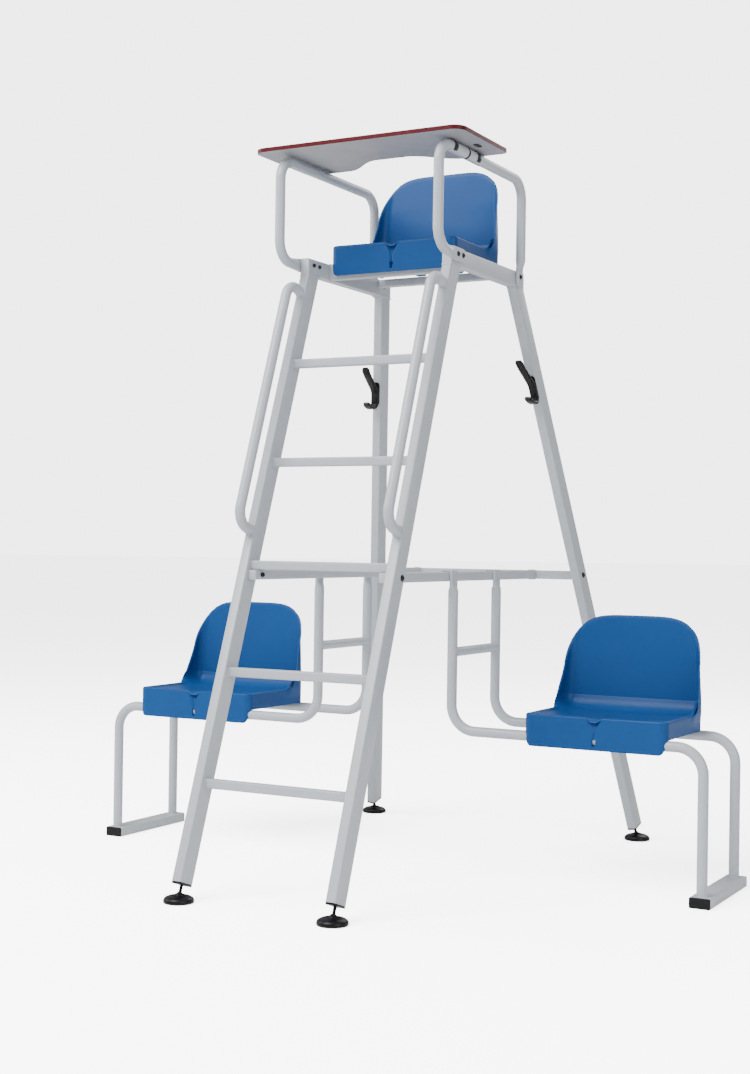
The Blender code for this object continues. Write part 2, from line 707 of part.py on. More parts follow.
def shell_mesh(name):
    """The seat shell's skin: a dished pan whose front and side edges turn down and whose rear edge turns up."""
    work = bmesh.new()
    rows = len(SHELL_PAN_ROWS) - 1
    bmesh.ops.create_grid(work, x_segments=SHELL_COLUMNS, y_segments=rows, size=1)
    for vertex in work.verts:
        share = math.sin(vertex.co.x * math.pi / 2)
        depth = SHELL_PAN_ROWS[round((vertex.co.y + 1) / 2 * rows)]
        rear = back_depth(share, SHELL_RIM_Z)
        vertex.co = (share * SHELL_HALF_WIDTH, depth * rear, SHELL_RIM_Z - pan_dish(share, depth))

    def at_rear(vertex):
        return vertex.co.y > back_depth(vertex.co.x / SHELL_HALF_WIDTH, SHELL_RIM_Z) - 1e-4

    rim = [edge for edge in work.edges if edge.is_boundary]
    rear_edge = [edge for edge in rim if all(at_rear(vertex) for vertex in edge.verts)]
    skirt_edge = [edge for edge in rim if edge not in rear_edge]
    for vertex in new_verts(bmesh.ops.extrude_edge_only(work, edges=skirt_edge)):
        vertex.co.z = 0.0 if vertex.co.y < 1e-4 else SHELL_SIDE_BOTTOM_Z
    last = rear_edge
    for row in range(1, SHELL_ROWS + 1):
        grown = bmesh.ops.extrude_edge_only(work, edges=last)
        last = [item for item in grown["geom"] if isinstance(item, bmesh.types.BMEdge)]
        for vertex in new_verts(grown):
            share = max(-1.0, min(1.0, vertex.co.x / SHELL_HALF_WIDTH))
            height = SHELL_RIM_Z + (crown_height(share) - SHELL_RIM_Z) * row / SHELL_ROWS
            vertex.co.y = back_depth(share, height)
            vertex.co.z = height
    bmesh.ops.recalc_face_normals(work, faces=work.faces)
    if sum(face.normal.z * face.calc_area() for face in work.faces) < 0:
        bmesh.ops.reverse_faces(work, faces=work.faces)
    mesh = to_mesh(work, name)
    smooth(mesh, 45)
    return mesh


def make_shell(name, place):
    shell = add_part(name, shell_mesh(name), BLUE_PLASTIC, Matrix.Translation(place))
    hollow(shell, SHELL_THICKNESS, even=False)
    spots = [(across, *lug) for across in (-LUG_X, LUG_X) for lug in LUGS]
    for number, (across, depth, top) in enumerate(spots):
        height = top - SHELL_SIDE_BOTTOM_Z
        lug = block_mesh("lug", (*LUG_SIZE, height), (across, depth, SHELL_SIDE_BOTTOM_Z + height / 2))
        boolean(shell, add_cutter(f"{name}_lug_{number}", lug, Matrix.Translation(place)), "UNION")


def make_side_seat(side, sign):
    rail_face = FRONT_X - LEG_WIDTH / 2 - GAP
    neck_x = rail_face + GAP + FLAT_THICKNESS / 2
    neck_low, neck_high = NECK_Z
    foot_top = FOOT_RAIL_HEIGHT + GAP
    for end, across in SIDE_TUBE_Y.items():
        corners = [(sign * SIDE_INNER_X, across, NECK_TOP_Z), (sign * SIDE_INNER_X, across, SIDE_LEVEL_Z),
                   (sign * SIDE_OUTER_X, across, SIDE_LEVEL_Z), (sign * SIDE_OUTER_X, across, foot_top)]
        points = rounded_path(corners, SIDE_BEND)
        neck = [Vector((sign * SIDE_INNER_X, across, height)) for height in (neck_high, neck_low)]
        points = points[:1] + neck + points[1:]

        def shape(spot, sign=sign, across=across):
            if spot.z < neck_low:
                return spot
            share = ramp(spot.z, neck_low, neck_high)
            flat = Vector((sign * neck_x + pressed(spot.x - sign * SIDE_INNER_X, FLAT_THICKNESS / 2),
                           across + (spot.y - across) * FLAT_WIDTH / 2 / TUBE_RADIUS, spot.z))
            return spot.lerp(flat, share)

        tube = round_tube(f"side_seat_{side}_{end}_tube", points, GREY_COAT, shape=shape)
        inside = rail_face - MID_WIDTH - 0.0004
        over = inside - RAIL_HOOK_THICKNESS
        top = NECK_TOP_Z + 0.001
        under = NECK_TOP_Z - 0.0025
        tip = NECK_TOP_Z - RAIL_HOOK_DROP
        outline = ((over, top), (over, tip), (inside, tip), (inside, under), (neck_x, under), (neck_x, top))
        outline = [(sign * reach, height) for reach, height in outline]
        hook = extruded("rail_hook", outline, "y", across, RAIL_HOOK_WIDTH / 2)
        boolean(tube, add_cutter(f"rail_hook_{side}_{end}", hook), "UNION")
    brace_ends = [(sign * SIDE_INNER_X, SIDE_TUBE_Y[end], BRACE_Z) for end in ("front", "rear")]
    brace = round_tube(f"side_seat_{side}_brace", brace_ends, GREY_COAT, BRACE_RADIUS)
    for number, spot in enumerate(brace_ends):
        post = cylinder_mesh("post", TUBE_RADIUS + GAP, -0.03, 0.03, 24)
        boolean(brace, add_cutter(f"brace_end_{side}_{number}", post, Matrix.Translation(spot)))
    front, rear = FOOT_RAIL_Y
    level = FOOT_RAIL_HEIGHT / 2
    box_tube(f"side_seat_{side}_foot_rail", (sign * SIDE_OUTER_X, front + CAP_FLANGE + GAP, level),
             (sign * SIDE_OUTER_X, rear - CAP_FLANGE - GAP, level), FOOT_RAIL_WIDTH, FOOT_RAIL_HEIGHT, GREY_COAT)
    for end, face, inward in (("front", front, 1), ("rear", rear, -1)):
        cap = stepped_block("foot_cap", (FOOT_RAIL_WIDTH, FOOT_RAIL_HEIGHT), CAP_FLANGE, CAP_DEPTH)
        spot = (sign * SIDE_OUTER_X, face + inward * (CAP_FLANGE + GAP), level)
        add_part(f"side_seat_{side}_cap_{end}", cap, BLACK_PLASTIC, axes_at(spot, (0, inward, 0)))
    make_shell(f"side_seat_{side}_shell", mirrored(SIDE_SHELL_AT, sign))


make_legs()
make_rungs()
make_mid_rails()
make_bolts()
make_seat_frame()
make_arms()
make_handrails()
make_desk()
make_hooks()
make_feet()
make_shell("main_seat_shell", MAIN_SHELL_AT)
for side_name, side_sign in SIDES.items():
    make_side_seat(side_name, side_sign)
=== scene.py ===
"""The looks of a tennis umpire's chair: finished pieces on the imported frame, materials, light and camera.

Metres, +Z up, in the frame's own axes: the ladder is at the front, -Y, and left and right are those of the
front view. Most pieces stand for one CAD node each, with rounder bends, welds, screws and moulded detail.
"""

import math

import bmesh
import bpy
from mathutils import Matrix, Vector


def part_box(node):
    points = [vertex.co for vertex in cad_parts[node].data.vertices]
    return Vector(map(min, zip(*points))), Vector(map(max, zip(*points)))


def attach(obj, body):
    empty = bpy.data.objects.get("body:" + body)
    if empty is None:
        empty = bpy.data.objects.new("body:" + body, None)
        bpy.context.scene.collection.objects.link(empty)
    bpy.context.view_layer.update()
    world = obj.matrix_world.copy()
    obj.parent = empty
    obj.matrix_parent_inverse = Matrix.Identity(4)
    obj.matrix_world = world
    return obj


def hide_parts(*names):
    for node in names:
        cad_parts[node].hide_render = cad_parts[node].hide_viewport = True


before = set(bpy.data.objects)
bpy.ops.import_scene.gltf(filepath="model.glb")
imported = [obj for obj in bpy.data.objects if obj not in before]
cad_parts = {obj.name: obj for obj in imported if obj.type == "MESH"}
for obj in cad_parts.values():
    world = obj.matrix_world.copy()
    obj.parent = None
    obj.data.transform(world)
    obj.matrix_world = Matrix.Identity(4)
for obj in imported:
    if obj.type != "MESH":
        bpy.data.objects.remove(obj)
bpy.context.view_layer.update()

SIDES = {"left": -1, "right": 1}
GAP = 0.0003
TUBE_RADIUS = 0.015
TUBE_SIDES = 28
BEND_STEPS = 14
WALL = 0.002
CORNER = 0.0035

# Legs
LEG_WIDTH = 0.030
LEG_DEPTH = 0.060
LEG_BOTTOM_Z = 0.050
FRONT_X = 0.240
FRONT_Y0 = -0.7914
FRONT_LEAN = 0.3577
REAR_X0 = 0.5016
REAR_SPLAY = -0.1467
REAR_Y0 = 0.7906
REAR_LEAN = -0.2675

# Rungs and the rails at half height
RUNG_COUNT = 5
RUNG_SIZE = 0.026
RUNG_FIRST_Z = 0.310
RUNG_PITCH = 0.300
MID_Z = 0.8825
MID_HEIGHT = 0.028
MID_WIDTH = 0.025
MID_FRONT_Y = -0.493
MID_CROSS_Y = 0.5545

# Frame under the main seat, arms and handrails
SEAT_RAIL_Z = (1.790, 1.840)
SEAT_RAIL_Y = (-0.182, 0.343)
SEAT_RAIL_WIDTH = 0.030
CROSS_DEPTH = 0.025
FRONT_CROSS_Y = -0.0455
REAR_CROSS_Y = 0.2695
REAR_CROSS_HEIGHT = 0.025
ARM_X = 0.2635
ARM_FRONT_Y = -0.2885
ARM_REAR_Y = 0.296
ARM_TOP_Z = 2.121
ARM_BEND = 0.060
ARM_TAIL_Z = 1.820
ARM_TAIL_Y = -0.100
ARM_REAR_END_Z = 1.790
FLAT_THICKNESS = 0.009
FLAT_WIDTH = 0.041
ARM_BOLTS = ((-0.155, 1.8205), (-0.122, 1.8205), (ARM_REAR_Y, 1.822))
HANDRAIL_STANDOFF = 0.072
HANDRAIL_BEND = 0.047
HANDRAIL_RETURN_Z = (1.010, 1.732)

# Writing desk
DESK_UNDERSIDE_Z = 2.140
DESK_TOP_Z = 2.152
DESK_X = 0.345
DESK_Y = (-0.318, 0.012)
DESK_CUT_Y = -0.081
DESK_CUT_FLAT = 0.050
DESK_CUT_END = 0.200
DESK_CORNERS = (0.038, 0.020)
BAND_THICKNESS = 0.0015
CLAMP_WALL = 0.0016
CLAMP_Y = {"front": (-0.2275, -0.123), "rear": (-0.113, -0.013)}
STRAP_Y = {"front": -0.210, "rear": -0.053}
STRAP_WIDTH = 0.022
STRAP_THICKNESS = 0.0015
STRAP_FOOT_X = 0.236
# A black plate under the board, a painted shadow for the dark slot of shade there
SHADOW_PLATE_X = 0.303
SHADOW_PLATE_SIZE = (0.016, 0.034)

# Coat hooks
HOOK_WIDTH = 0.026
HOOK_THICKNESS = 0.0105
HOOK_Z = 1.480
HOOK_LINE = ((0.079, 0.074), (0.064, 0.054), (0.037, 0.030), (0.0125, 0.006), (0.0095, -0.020),
             (0.013, -0.042), (0.030, -0.050), (0.052, -0.048), (0.070, -0.038))
HOOK_PLATE = (-0.040, 0.035)

# Levelling feet: the rib's points are (distance from the pad's axis, height)
PLUG_FLANGE = 0.0052
PAD_EXTRA = 0.0022
PAD_RIBS = 12
PAD_RIB = ((0.0118, 0.0216), (0.0150, 0.0210), (0.0220, 0.0192), (0.0290, 0.0158), (0.0345, 0.0120))

# Side seats
SIDE_INNER_X = 0.229
SIDE_OUTER_X = 0.991
SIDE_LEVEL_Z = 0.431
SIDE_BEND = 0.075
SIDE_TUBE_Y = {"front": -0.085, "rear": 0.2215}
NECK_Z = 0.838
NECK_TOP_Z = 0.8995
NECK_RAMP = 0.024
BRACE_Z = 0.660
BRACE_RADIUS = 0.014
FOOT_RAIL_WIDTH = 0.060
FOOT_RAIL_HEIGHT = 0.030
FOOT_RAIL_Y = (-0.108, 0.253)
CAP_FLANGE = 0.004

# Seat shell: heights above the apron's lower edge, depths behind its face
SHELL_HALF = 0.2125
SHELL_RIM_Z = 0.093
SHELL_REAR_Y = 0.335
SHELL_SIDE_BOTTOM = 0.0415
SHELL_THICKNESS = 0.0035
SHELL_FRONT_CORNER = 0.022
SHELL_REAR_CORNER = 0.030
SHELL_EDGE = 0.006
SHELL_FILLET = 0.040
SHELL_STEP = 0.0055
SHELL_DISH = 0.0105
SHELL_LEAN = 0.026
SHELL_TAPER = 0.060
SHELL_CROWN = (0.230, 0.134, 4.9)
SHELL_WING = (0.225, 0.088)
SHELL_WING_POWER = 2.2
SHELL_FLARE = 0.030
SHELL_BOW = 0.022
SHELL_LIP = 0.0022
SHELL_APRON_CORNER = 0.016
SHELL_WALL_ROWS = 28
GROOVE_HALF = 0.027
GROOVE_FOOT_Z = 0.048
LUG_X = 0.066
LUG_SIZE = (0.030, 0.026)
LUG_Y = (0.0255, 0.3265)

# Studio: softboxes are (name, place, size, watts)
WORLD_LIGHT = 0.45
BACKDROP_GLOW = 4.4
FLOOR_GLOW = 2.6
FLOOR_SEEN = 3.0
SOFTBOXES = (("key", (-1.8, -4.4, 6.6), 5.0, 820), ("fill", (5.0, -2.4, 2.6), 3.0, 100),
             ("back", (0.8, 4.6, 4.2), 3.0, 90), ("side", (-4.8, -1.6, 3.0), 2.4, 90))

# Camera: turn, tilt and roll in degrees
CAMERA_PLACE = (2.2875, -4.3366, 0.9745)
CAMERA_ANGLES = (28.66, 0.26, 0.82)
CAMERA_LENS = 53.67

SCENE = bpy.context.scene


# ---------------------------------------------------------------- materials

def shader_tree(name, colour, roughness, metallic=0.0, **sockets):
    """A new material, its node tree and its Principled shader, with constants on the shader's sockets."""
    material = bpy.data.materials.new(name)
    material.use_nodes = True
    tree = material.node_tree
    shader = tree.nodes["Principled BSDF"]
    shader.inputs["Base Color"].default_value = (*colour, 1.0)
    shader.inputs["Roughness"].default_value = roughness
    shader.inputs["Metallic"].default_value = metallic
    for socket, value in sockets.items():
        shader.inputs[socket.replace("_", " ")].default_value = value
    return material, tree, shader


def add_noise(tree, scale, detail=2.0, stretch=(1, 1, 1), roughness=0.5):
    """Noise over the piece's own coordinates, in cycles a metre; stretch draws it out along an axis."""
    coordinates = tree.nodes.new("ShaderNodeTexCoord")
    mapping = tree.nodes.new("ShaderNodeMapping")
    mapping.inputs["Scale"].default_value = stretch
    noise = tree.nodes.new("ShaderNodeTexNoise")
    noise.inputs["Scale"].default_value = scale
    noise.inputs["Detail"].default_value = detail
    noise.inputs["Roughness"].default_value = roughness
    tree.links.new(coordinates.outputs["Object"], mapping.inputs["Vector"])
    tree.links.new(mapping.outputs["Vector"], noise.inputs["Vector"])
    return noise.outputs["Fac"]


def ramped(tree, value, stops):
    """A colour ramp on a value: stops are (place, grey or colour)."""
    ramp = tree.nodes.new("ShaderNodeValToRGB")
    elements = ramp.color_ramp.elements
    while len(elements) < len(stops):
        elements.new(0.5)
    for element, (place, colour) in zip(elements, stops):
        element.position = place
        element.color = (*colour, 1.0) if isinstance(colour, tuple) else (colour, colour, colour, 1.0)
    tree.links.new(value, ramp.inputs["Fac"])
    return ramp.outputs["Color"]


def mixed(tree, share, first, second, blend="MIX"):
    """Two colours mixed by a share; each of the three is a socket or a constant."""
    mix = tree.nodes.new("ShaderNodeMix")
    mix.data_type = "RGBA"
    mix.blend_type = blend
    for socket, value in (("Factor", share), ("A", first), ("B", second)):
        kind = "VALUE" if socket == "Factor" else "RGBA"
        target = next(item for item in mix.inputs if item.name == socket and item.type == kind)
        if isinstance(value, bpy.types.NodeSocket):
            tree.links.new(value, target)
        elif kind == "VALUE":
            target.default_value = value
        else:
            target.default_value = (*value, 1.0)
    return next(item for item in mix.outputs if item.type == "RGBA")


def add_bump(tree, shader, layers):
    """Bumps one on another: layers are (height socket, strength, distance)."""
    normal = None
    for height, strength, distance in layers:
        bump = tree.nodes.new("ShaderNodeBump")
        bump.inputs["Strength"].default_value = strength
        bump.inputs["Distance"].default_value = distance
        tree.links.new(height, bump.inputs["Height"])
        if normal:
            tree.links.new(normal, bump.inputs["Normal"])
        normal = bump.outputs["Normal"]
    tree.links.new(normal, shader.inputs["Normal"])


def vary_roughness(tree, shader, value, low, high):
    """Roughness that drifts between two values with the given noise."""
    tree.links.new(ramped(tree, value, ((0.3, low), (0.7, high))), shader.inputs["Roughness"])


def edge_wear_and_highlight(tree, low, high):
    """0 on the flats to 1 on the convex edges, broken up into patches: wear on most finishes, a painted edge
    highlight on the blue moulding.
    """
    geometry = tree.nodes.new("ShaderNodeNewGeometry")
    edge = ramped(tree, geometry.outputs["Pointiness"], ((low, 0.0), (high, 1.0)))
    patches = ramped(tree, add_noise(tree, 38, 4), ((0.45, 0.0), (0.62, 1.0)))
    return mixed(tree, 1.0, edge, patches, "MULTIPLY")


def powder_coat():
    """Semi-gloss powder coat: orange peel, faint clouds, a little dust near the floor, rubbed edges."""
    material, tree, shader = shader_tree("powder_coat_grey", (0.46, 0.49, 0.53), 0.33, 0.0,
                                         Specular_IOR_Level=0.45, Coat_Weight=0.10, Coat_Roughness=0.18)
    noise = add_noise(tree, 3.0, 2)
    cloud = ramped(tree, noise, ((0.30, (0.450, 0.480, 0.520)), (0.70, (0.475, 0.505, 0.545))))
    speck = ramped(tree, add_noise(tree, 1400, 1), ((0.35, 0.94), (0.60, 1.0)))
    colour = mixed(tree, 0.5, cloud, speck, "MULTIPLY")
    coordinates = tree.nodes.new("ShaderNodeTexCoord")
    split = tree.nodes.new("ShaderNodeSeparateXYZ")
    tree.links.new(coordinates.outputs["Object"], split.inputs["Vector"])
    low = ramped(tree, split.outputs["Z"], ((0.0, 0.22), (0.12, 0.0)))
    grime = ramped(tree, add_noise(tree, 26, 5), ((0.42, 0.0), (0.66, 1.0)))
    dusty = mixed(tree, 1.0, low, grime, "MULTIPLY")
    colour = mixed(tree, dusty, colour, (0.36, 0.35, 0.33))
    colour = mixed(tree, edge_wear_and_highlight(tree, 0.57, 0.66), colour, (0.53, 0.56, 0.60))
    tree.links.new(colour, shader.inputs["Base Color"])
    vary_roughness(tree, shader, add_noise(tree, 6, 3), 0.30, 0.38)
    add_bump(tree, shader, ((add_noise(tree, 480, 2), 0.14, 0.0005),))
    return material


def gloss_plastic():
    """Moulded polypropylene: faint flow clouds, fine grain, hairline scratches, and paler rims that are a
    painted highlight along its edges.
    """
    material, tree, shader = shader_tree("moulded_blue", (0.005, 0.058, 0.205), 0.40, 0.0,
                                         Specular_IOR_Level=0.19)
    flow = ramped(tree, add_noise(tree, 5, 2), ((0.3, (0.0050, 0.056, 0.208)), (0.7, (0.0060, 0.062, 0.222))))
    scratch_a = ramped(tree, add_noise(tree, 60, 2, (1, 14, 14)), ((0.660, 0.0), (0.700, 1.0)))
    scratch_b = ramped(tree, add_noise(tree, 60, 2, (14, 1, 14)), ((0.665, 0.0), (0.705, 1.0)))
    scratches = mixed(tree, 1.0, scratch_a, scratch_b, "SCREEN")
    patches = ramped(tree, add_noise(tree, 9, 3), ((0.48, 0.0), (0.66, 1.0)))
    marks = mixed(tree, 1.0, scratches, patches, "MULTIPLY")
    faint = ramped(tree, marks, ((0.0, 0.0), (1.0, 0.12)))
    colour = mixed(tree, faint, flow, (0.06, 0.18, 0.42))
    # Paler blue on the convex edges: a painted highlight along the rims.
    colour = mixed(tree, edge_wear_and_highlight(tree, 0.58, 0.72), colour, (0.020, 0.110, 0.340))
    tree.links.new(colour, shader.inputs["Base Color"])
    vary_roughness(tree, shader, add_noise(tree, 6, 2), 0.37, 0.43)
    add_bump(tree, shader, ((add_noise(tree, 1500, 2), 0.05, 0.0003),))
    return material


def laminate():
    """Pale grey laminate with a fine pebbled face and rubbed patches."""
    material, tree, shader = shader_tree("laminate_grey", (0.34, 0.345, 0.37), 0.42)
    fleck = ramped(tree, add_noise(tree, 700, 3), ((0.38, (0.30, 0.305, 0.33)), (0.62, (0.36, 0.365, 0.39))))
    rubbed = ramped(tree, add_noise(tree, 12, 4), ((0.35, 0.92), (0.65, 1.0)))
    tree.links.new(mixed(tree, 1.0, fleck, rubbed, "MULTIPLY"), shader.inputs["Base Color"])
    vary_roughness(tree, shader, add_noise(tree, 16, 3), 0.36, 0.52)
    add_bump(tree, shader, ((add_noise(tree, 900, 2), 0.22, 0.0003),))
    return material


def edge_band():
    """Dark red glued edging with the faint lines of its scraping."""
    material, tree, shader = shader_tree("edging_red", (0.085, 0.004, 0.008), 0.42, 0.0,
                                         Specular_IOR_Level=0.20)
    tone = ramped(tree, add_noise(tree, 40, 3), ((0.3, (0.075, 0.004, 0.007)), (0.7, (0.095, 0.005, 0.010))))
    colour = mixed(tree, edge_wear_and_highlight(tree, 0.60, 0.72), tone, (0.15, 0.02, 0.024))
    tree.links.new(colour, shader.inputs["Base Color"])
    lines = add_noise(tree, 60, 2, (1, 1, 40))
    vary_roughness(tree, shader, lines, 0.28, 0.44)
    add_bump(tree, shader, ((lines, 0.20, 0.0003),))
    return material


def black_moulding():
    """Black moulded plastic with a fine spark-eroded grain and greyed edges."""
    material, tree, shader = shader_tree("moulded_black", (0.005, 0.005, 0.006), 0.30, 0.0,
                                         Specular_IOR_Level=0.24)
    tone = ramped(tree, add_noise(tree, 30, 4), ((0.3, (0.004, 0.004, 0.005)), (0.7, (0.006, 0.006, 0.007))))
    colour = mixed(tree, edge_wear_and_highlight(tree, 0.60, 0.75), tone, (0.018, 0.018, 0.020))
    tree.links.new(colour, shader.inputs["Base Color"])
    vary_roughness(tree, shader, add_noise(tree, 22, 4), 0.24, 0.36)
    add_bump(tree, shader, ((add_noise(tree, 1100, 2), 0.20, 0.0003),))
    return material


def blackened_steel():
    """Black-oxide steel: a dark satin metal with rubbed bright edges."""
    material, tree, shader = shader_tree("oxide_black", (0.022, 0.022, 0.024), 0.34, 0.5)
    tone = ramped(tree, add_noise(tree, 60, 4), ((0.3, (0.016, 0.016, 0.018)), (0.7, (0.028, 0.028, 0.030))))
    colour = mixed(tree, edge_wear_and_highlight(tree, 0.60, 0.75), tone, (0.11, 0.11, 0.115))
    tree.links.new(colour, shader.inputs["Base Color"])
    vary_roughness(tree, shader, add_noise(tree, 45, 3), 0.28, 0.48)
    add_bump(tree, shader, ((add_noise(tree, 700, 2), 0.12, 0.0003),))
    return material


FINISHES = {
    "grey_powder_coat": powder_coat(),
    "blue_gloss_plastic": gloss_plastic(),
    "board_face": laminate(),
    "red_edge_band": edge_band(),
    "black_plastic": black_moulding(),
    "black_steel": blackened_steel(),
}


# ---------------------------------------------------------------- mesh helpers

def axes_at(origin, along, side=(1, 0, 0)):
    """A matrix whose Z runs along the given direction and whose X is as near as it can be to side."""
    z_axis = Vector(along).normalized()
    x_axis = Vector(side) - Vector(side).project(z_axis)
    x_axis.normalize()
    y_axis = z_axis.cross(x_axis)
    return Matrix.Translation(origin) @ Matrix((x_axis, y_axis, z_axis)).transposed().to_4x4()


def finish_piece(name, work, finish, body, nodes=(), modifiers=(), sharp=38):
    """Makes the work a piece: modifiers are settled into its mesh, and it rides on the body for the nodes."""
    mesh = bpy.data.meshes.new(name)
    work.to_mesh(mesh)
    work.free()
    obj = bpy.data.objects.new(name, mesh)
    SCENE.collection.objects.link(obj)
    if modifiers:
        for kind, settings in modifiers:
            modifier = obj.modifiers.new(kind.title(), kind)
            for key, value in settings.items():
                setattr(modifier, key, value)
        bpy.context.view_layer.update()
        graph = bpy.context.evaluated_depsgraph_get()
        mesh = bpy.data.meshes.new_from_object(obj.evaluated_get(graph))
        obj.modifiers.clear()
        obj.data = mesh
    mesh.shade_smooth()
    mesh.set_sharp_from_angle(angle=math.radians(sharp))
    mesh.materials.clear()
    mesh.materials.append(FINISHES[finish])
    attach(obj, body)
    if nodes:
        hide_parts(*nodes)
    return obj


def add_ring(work, matrix, points):
    """Vertices at (x, y) or (x, y, z) points of the matrix's own axes."""
    return [work.verts.new(matrix @ Vector((*point, 0)[:3])) for point in points]


def join_rings(work, first, second):
    """Quads between two rings of as many vertices.

    They face out when the rings run anticlockwise seen from the second.
    """
    for index in range(len(first)):
        after = (index + 1) % len(first)
        work.faces.new((first[index], first[after], second[after], second[index]))


def join_all(work, rings):
    for first, second in zip(rings, rings[1:]):
        join_rings(work, first, second)


def close_ends(work, rings):
    work.faces.new(rings[0][::-1])
    work.faces.new(rings[-1])


def rounded_rectangle(width, depth, corner, steps=4):
    """Anticlockwise (x, y) points of a rectangle with round corners."""
    found = []
    for quarter, (across, along) in enumerate(((1, 1), (-1, 1), (-1, -1), (1, -1))):
        centre = (across * (width / 2 - corner), along * (depth / 2 - corner))
        found += arc(centre, corner, 90 * quarter, 90 * quarter + 90, steps)
    return found


def arc(centre, radius, start, end, steps):
    """(x, y) points on an arc, angles in degrees."""
    found = []
    for step in range(steps + 1):
        angle = math.radians(start + (end - start) * step / steps)
        found.append((centre[0] + radius * math.cos(angle), centre[1] + radius * math.sin(angle)))
    return found


def circle(radius, sides=TUBE_SIDES):
    return arc((0, 0), radius, 0, 360 - 360 / sides, sides - 1)


def box_tube(work, start, end, width, depth, side=(1, 0, 0), corner=CORNER, closed=True, cut_z=None):
    """A rectangular tube with round corners, closed or left open; cut_z cuts its far end level."""
    start = Vector(start)
    along = Vector(end) - start
    matrix = axes_at(start, along, side)
    length = along.length
    easing = 0.0006
    full = rounded_rectangle(width, depth, corner)
    small = rounded_rectangle(width - 2 * easing, depth - 2 * easing, corner)
    stations = ((0.0, small), (easing, full), (length - easing, full), (length, small))
    rings = []
    for height, outline in stations:
        rings.append(add_ring(work, matrix, [(x, y, height) for x, y in outline]))
    if cut_z is not None:
        up = along.normalized()
        for ring, drop in zip(rings[2:], (easing, 0.0)):
            for vertex in ring:
                vertex.co += up * ((cut_z - drop - vertex.co.z) / up.z)
    join_all(work, rings)
    if closed:
        close_ends(work, rings)
        return
    bore = rounded_rectangle(width - 2 * WALL, depth - 2 * WALL, corner - WALL / 2)
    inner = []
    for ring, height in ((rings[0], 0.0), (rings[-1], length)):
        made = add_ring(work, matrix, [(x, y, height) for x, y in bore])
        if cut_z is not None and height:
            for vertex in made:
                vertex.co += along.normalized() * ((cut_z - vertex.co.z) / along.normalized().z)
        inner.append(made)
    join_rings(work, inner[0], rings[0])
    join_rings(work, rings[-1], inner[1])
    join_rings(work, inner[1], inner[0])


def turned(work, matrix, profile, sides=32):
    """A turned solid from (radius, height) points, down its outside from the top; radius 0 closes it."""
    last = None
    for radius, height in profile:
        if radius < 1e-7:
            ring = [work.verts.new(matrix @ Vector((0, 0, height)))]
        else:
            ring = add_ring(work, matrix, [(x, y, height) for x, y in circle(radius, sides)])
        if last is not None:
            if len(ring) == 1 and len(last) > 1:
                for index in range(len(last)):
                    work.faces.new((last[(index + 1) % len(last)], last[index], ring[0]))
            elif len(last) == 1:
                for index in range(len(ring)):
                    work.faces.new((ring[index], ring[(index + 1) % len(ring)], last[0]))
            else:
                join_rings(work, ring, last)
        last = ring


def carried_frames(points, side, closed=False):
    """(point, x axis, y axis) along a path, turning no more than the path does."""
    points = [Vector(point) for point in points]
    count = len(points)
    tangents = []
    for index in range(count):
        if closed:
            step = points[(index + 1) % count] - points[index - 1]
        else:
            step = points[min(index + 1, count - 1)] - points[max(index - 1, 0)]
        tangents.append(step.normalized())
    x_axis = (Vector(side) - Vector(side).project(tangents[0])).normalized()
    found = []
    for index in range(count):
        if index:
            x_axis = tangents[index - 1].rotation_difference(tangents[index]) @ x_axis
        x_axis = (x_axis - x_axis.project(tangents[index])).normalized()
        found.append((points[index], x_axis.copy(), tangents[index].cross(x_axis)))
    return found


def sweep(work, points, section, side=(0, 0, 1), closed=False, scales=None, shape=None):
    """An (x, y) section carried along the points, closed on itself or by end faces."""
    rings = []
    for index, (point, x_axis, y_axis) in enumerate(carried_frames(points, side, closed)):
        scale = scales[index] if scales else 1.0
        places = [point + (x_axis * x + y_axis * y) * scale for x, y in section]
        rings.append([work.verts.new(shape(place) if shape else place) for place in places])
    join_all(work, rings)
    if closed:
        join_rings(work, rings[-1], rings[0])
    else:
        close_ends(work, rings)


def rounded_path(corners, radius, steps=BEND_STEPS):
    """The corners joined by straight runs and, at each inner corner, an arc of the radius."""
    points = [Vector(corners[0])]
    for before, corner, after in zip(corners, corners[1:], corners[2:]):
        back = (Vector(before) - Vector(corner)).normalized()
        ahead = (Vector(after) - Vector(corner)).normalized()
        half = back.angle(ahead) / 2
        centre = Vector(corner) + (back + ahead).normalized() * radius / math.sin(half)
        first = Vector(corner) + back * radius / math.tan(half) - centre
        turn = math.pi - 2 * half
        axis = back.cross(first).normalized()
        for step in range(steps + 1):
            points.append(centre + Matrix.Rotation(turn * step / steps, 3, axis) @ first)
    points.append(Vector(corners[-1]))
    return points


def stepped_start(points, length, step=0.0025):
    """The path with extra points along its first stretch, up to the length, for a pressed end."""
    ahead = (points[1] - points[0]).normalized()
    extra = [points[0] + ahead * step * index for index in range(1, int(length / step) + 1)]
    return points[:1] + extra + points[1:]


def smooth_line(points, steps=6):
    """A smooth curve through (x, y) points, as more points."""
    line = [Vector(point) for point in points]
    line = [2 * line[0] - line[1]] + line + [2 * line[-1] - line[-2]]
    found = []
    for index in range(1, len(line) - 2):
        a, b, c, d = line[index - 1:index + 3]
        for step in range(steps):
            t = step / steps
            found.append(0.5 * (2 * b + (c - a) * t + (2 * a - 5 * b + 4 * c - d) * t * t
                                + (3 * b - a - 3 * c + d) * t ** 3))
    return found + [line[-2]]


def ramp(value, start, end):
    """0 at start, 1 at end, with a soft change between them."""
    share = min(1.0, max(0.0, (value - start) / (end - start)))
    return share * share * (3 - 2 * share)


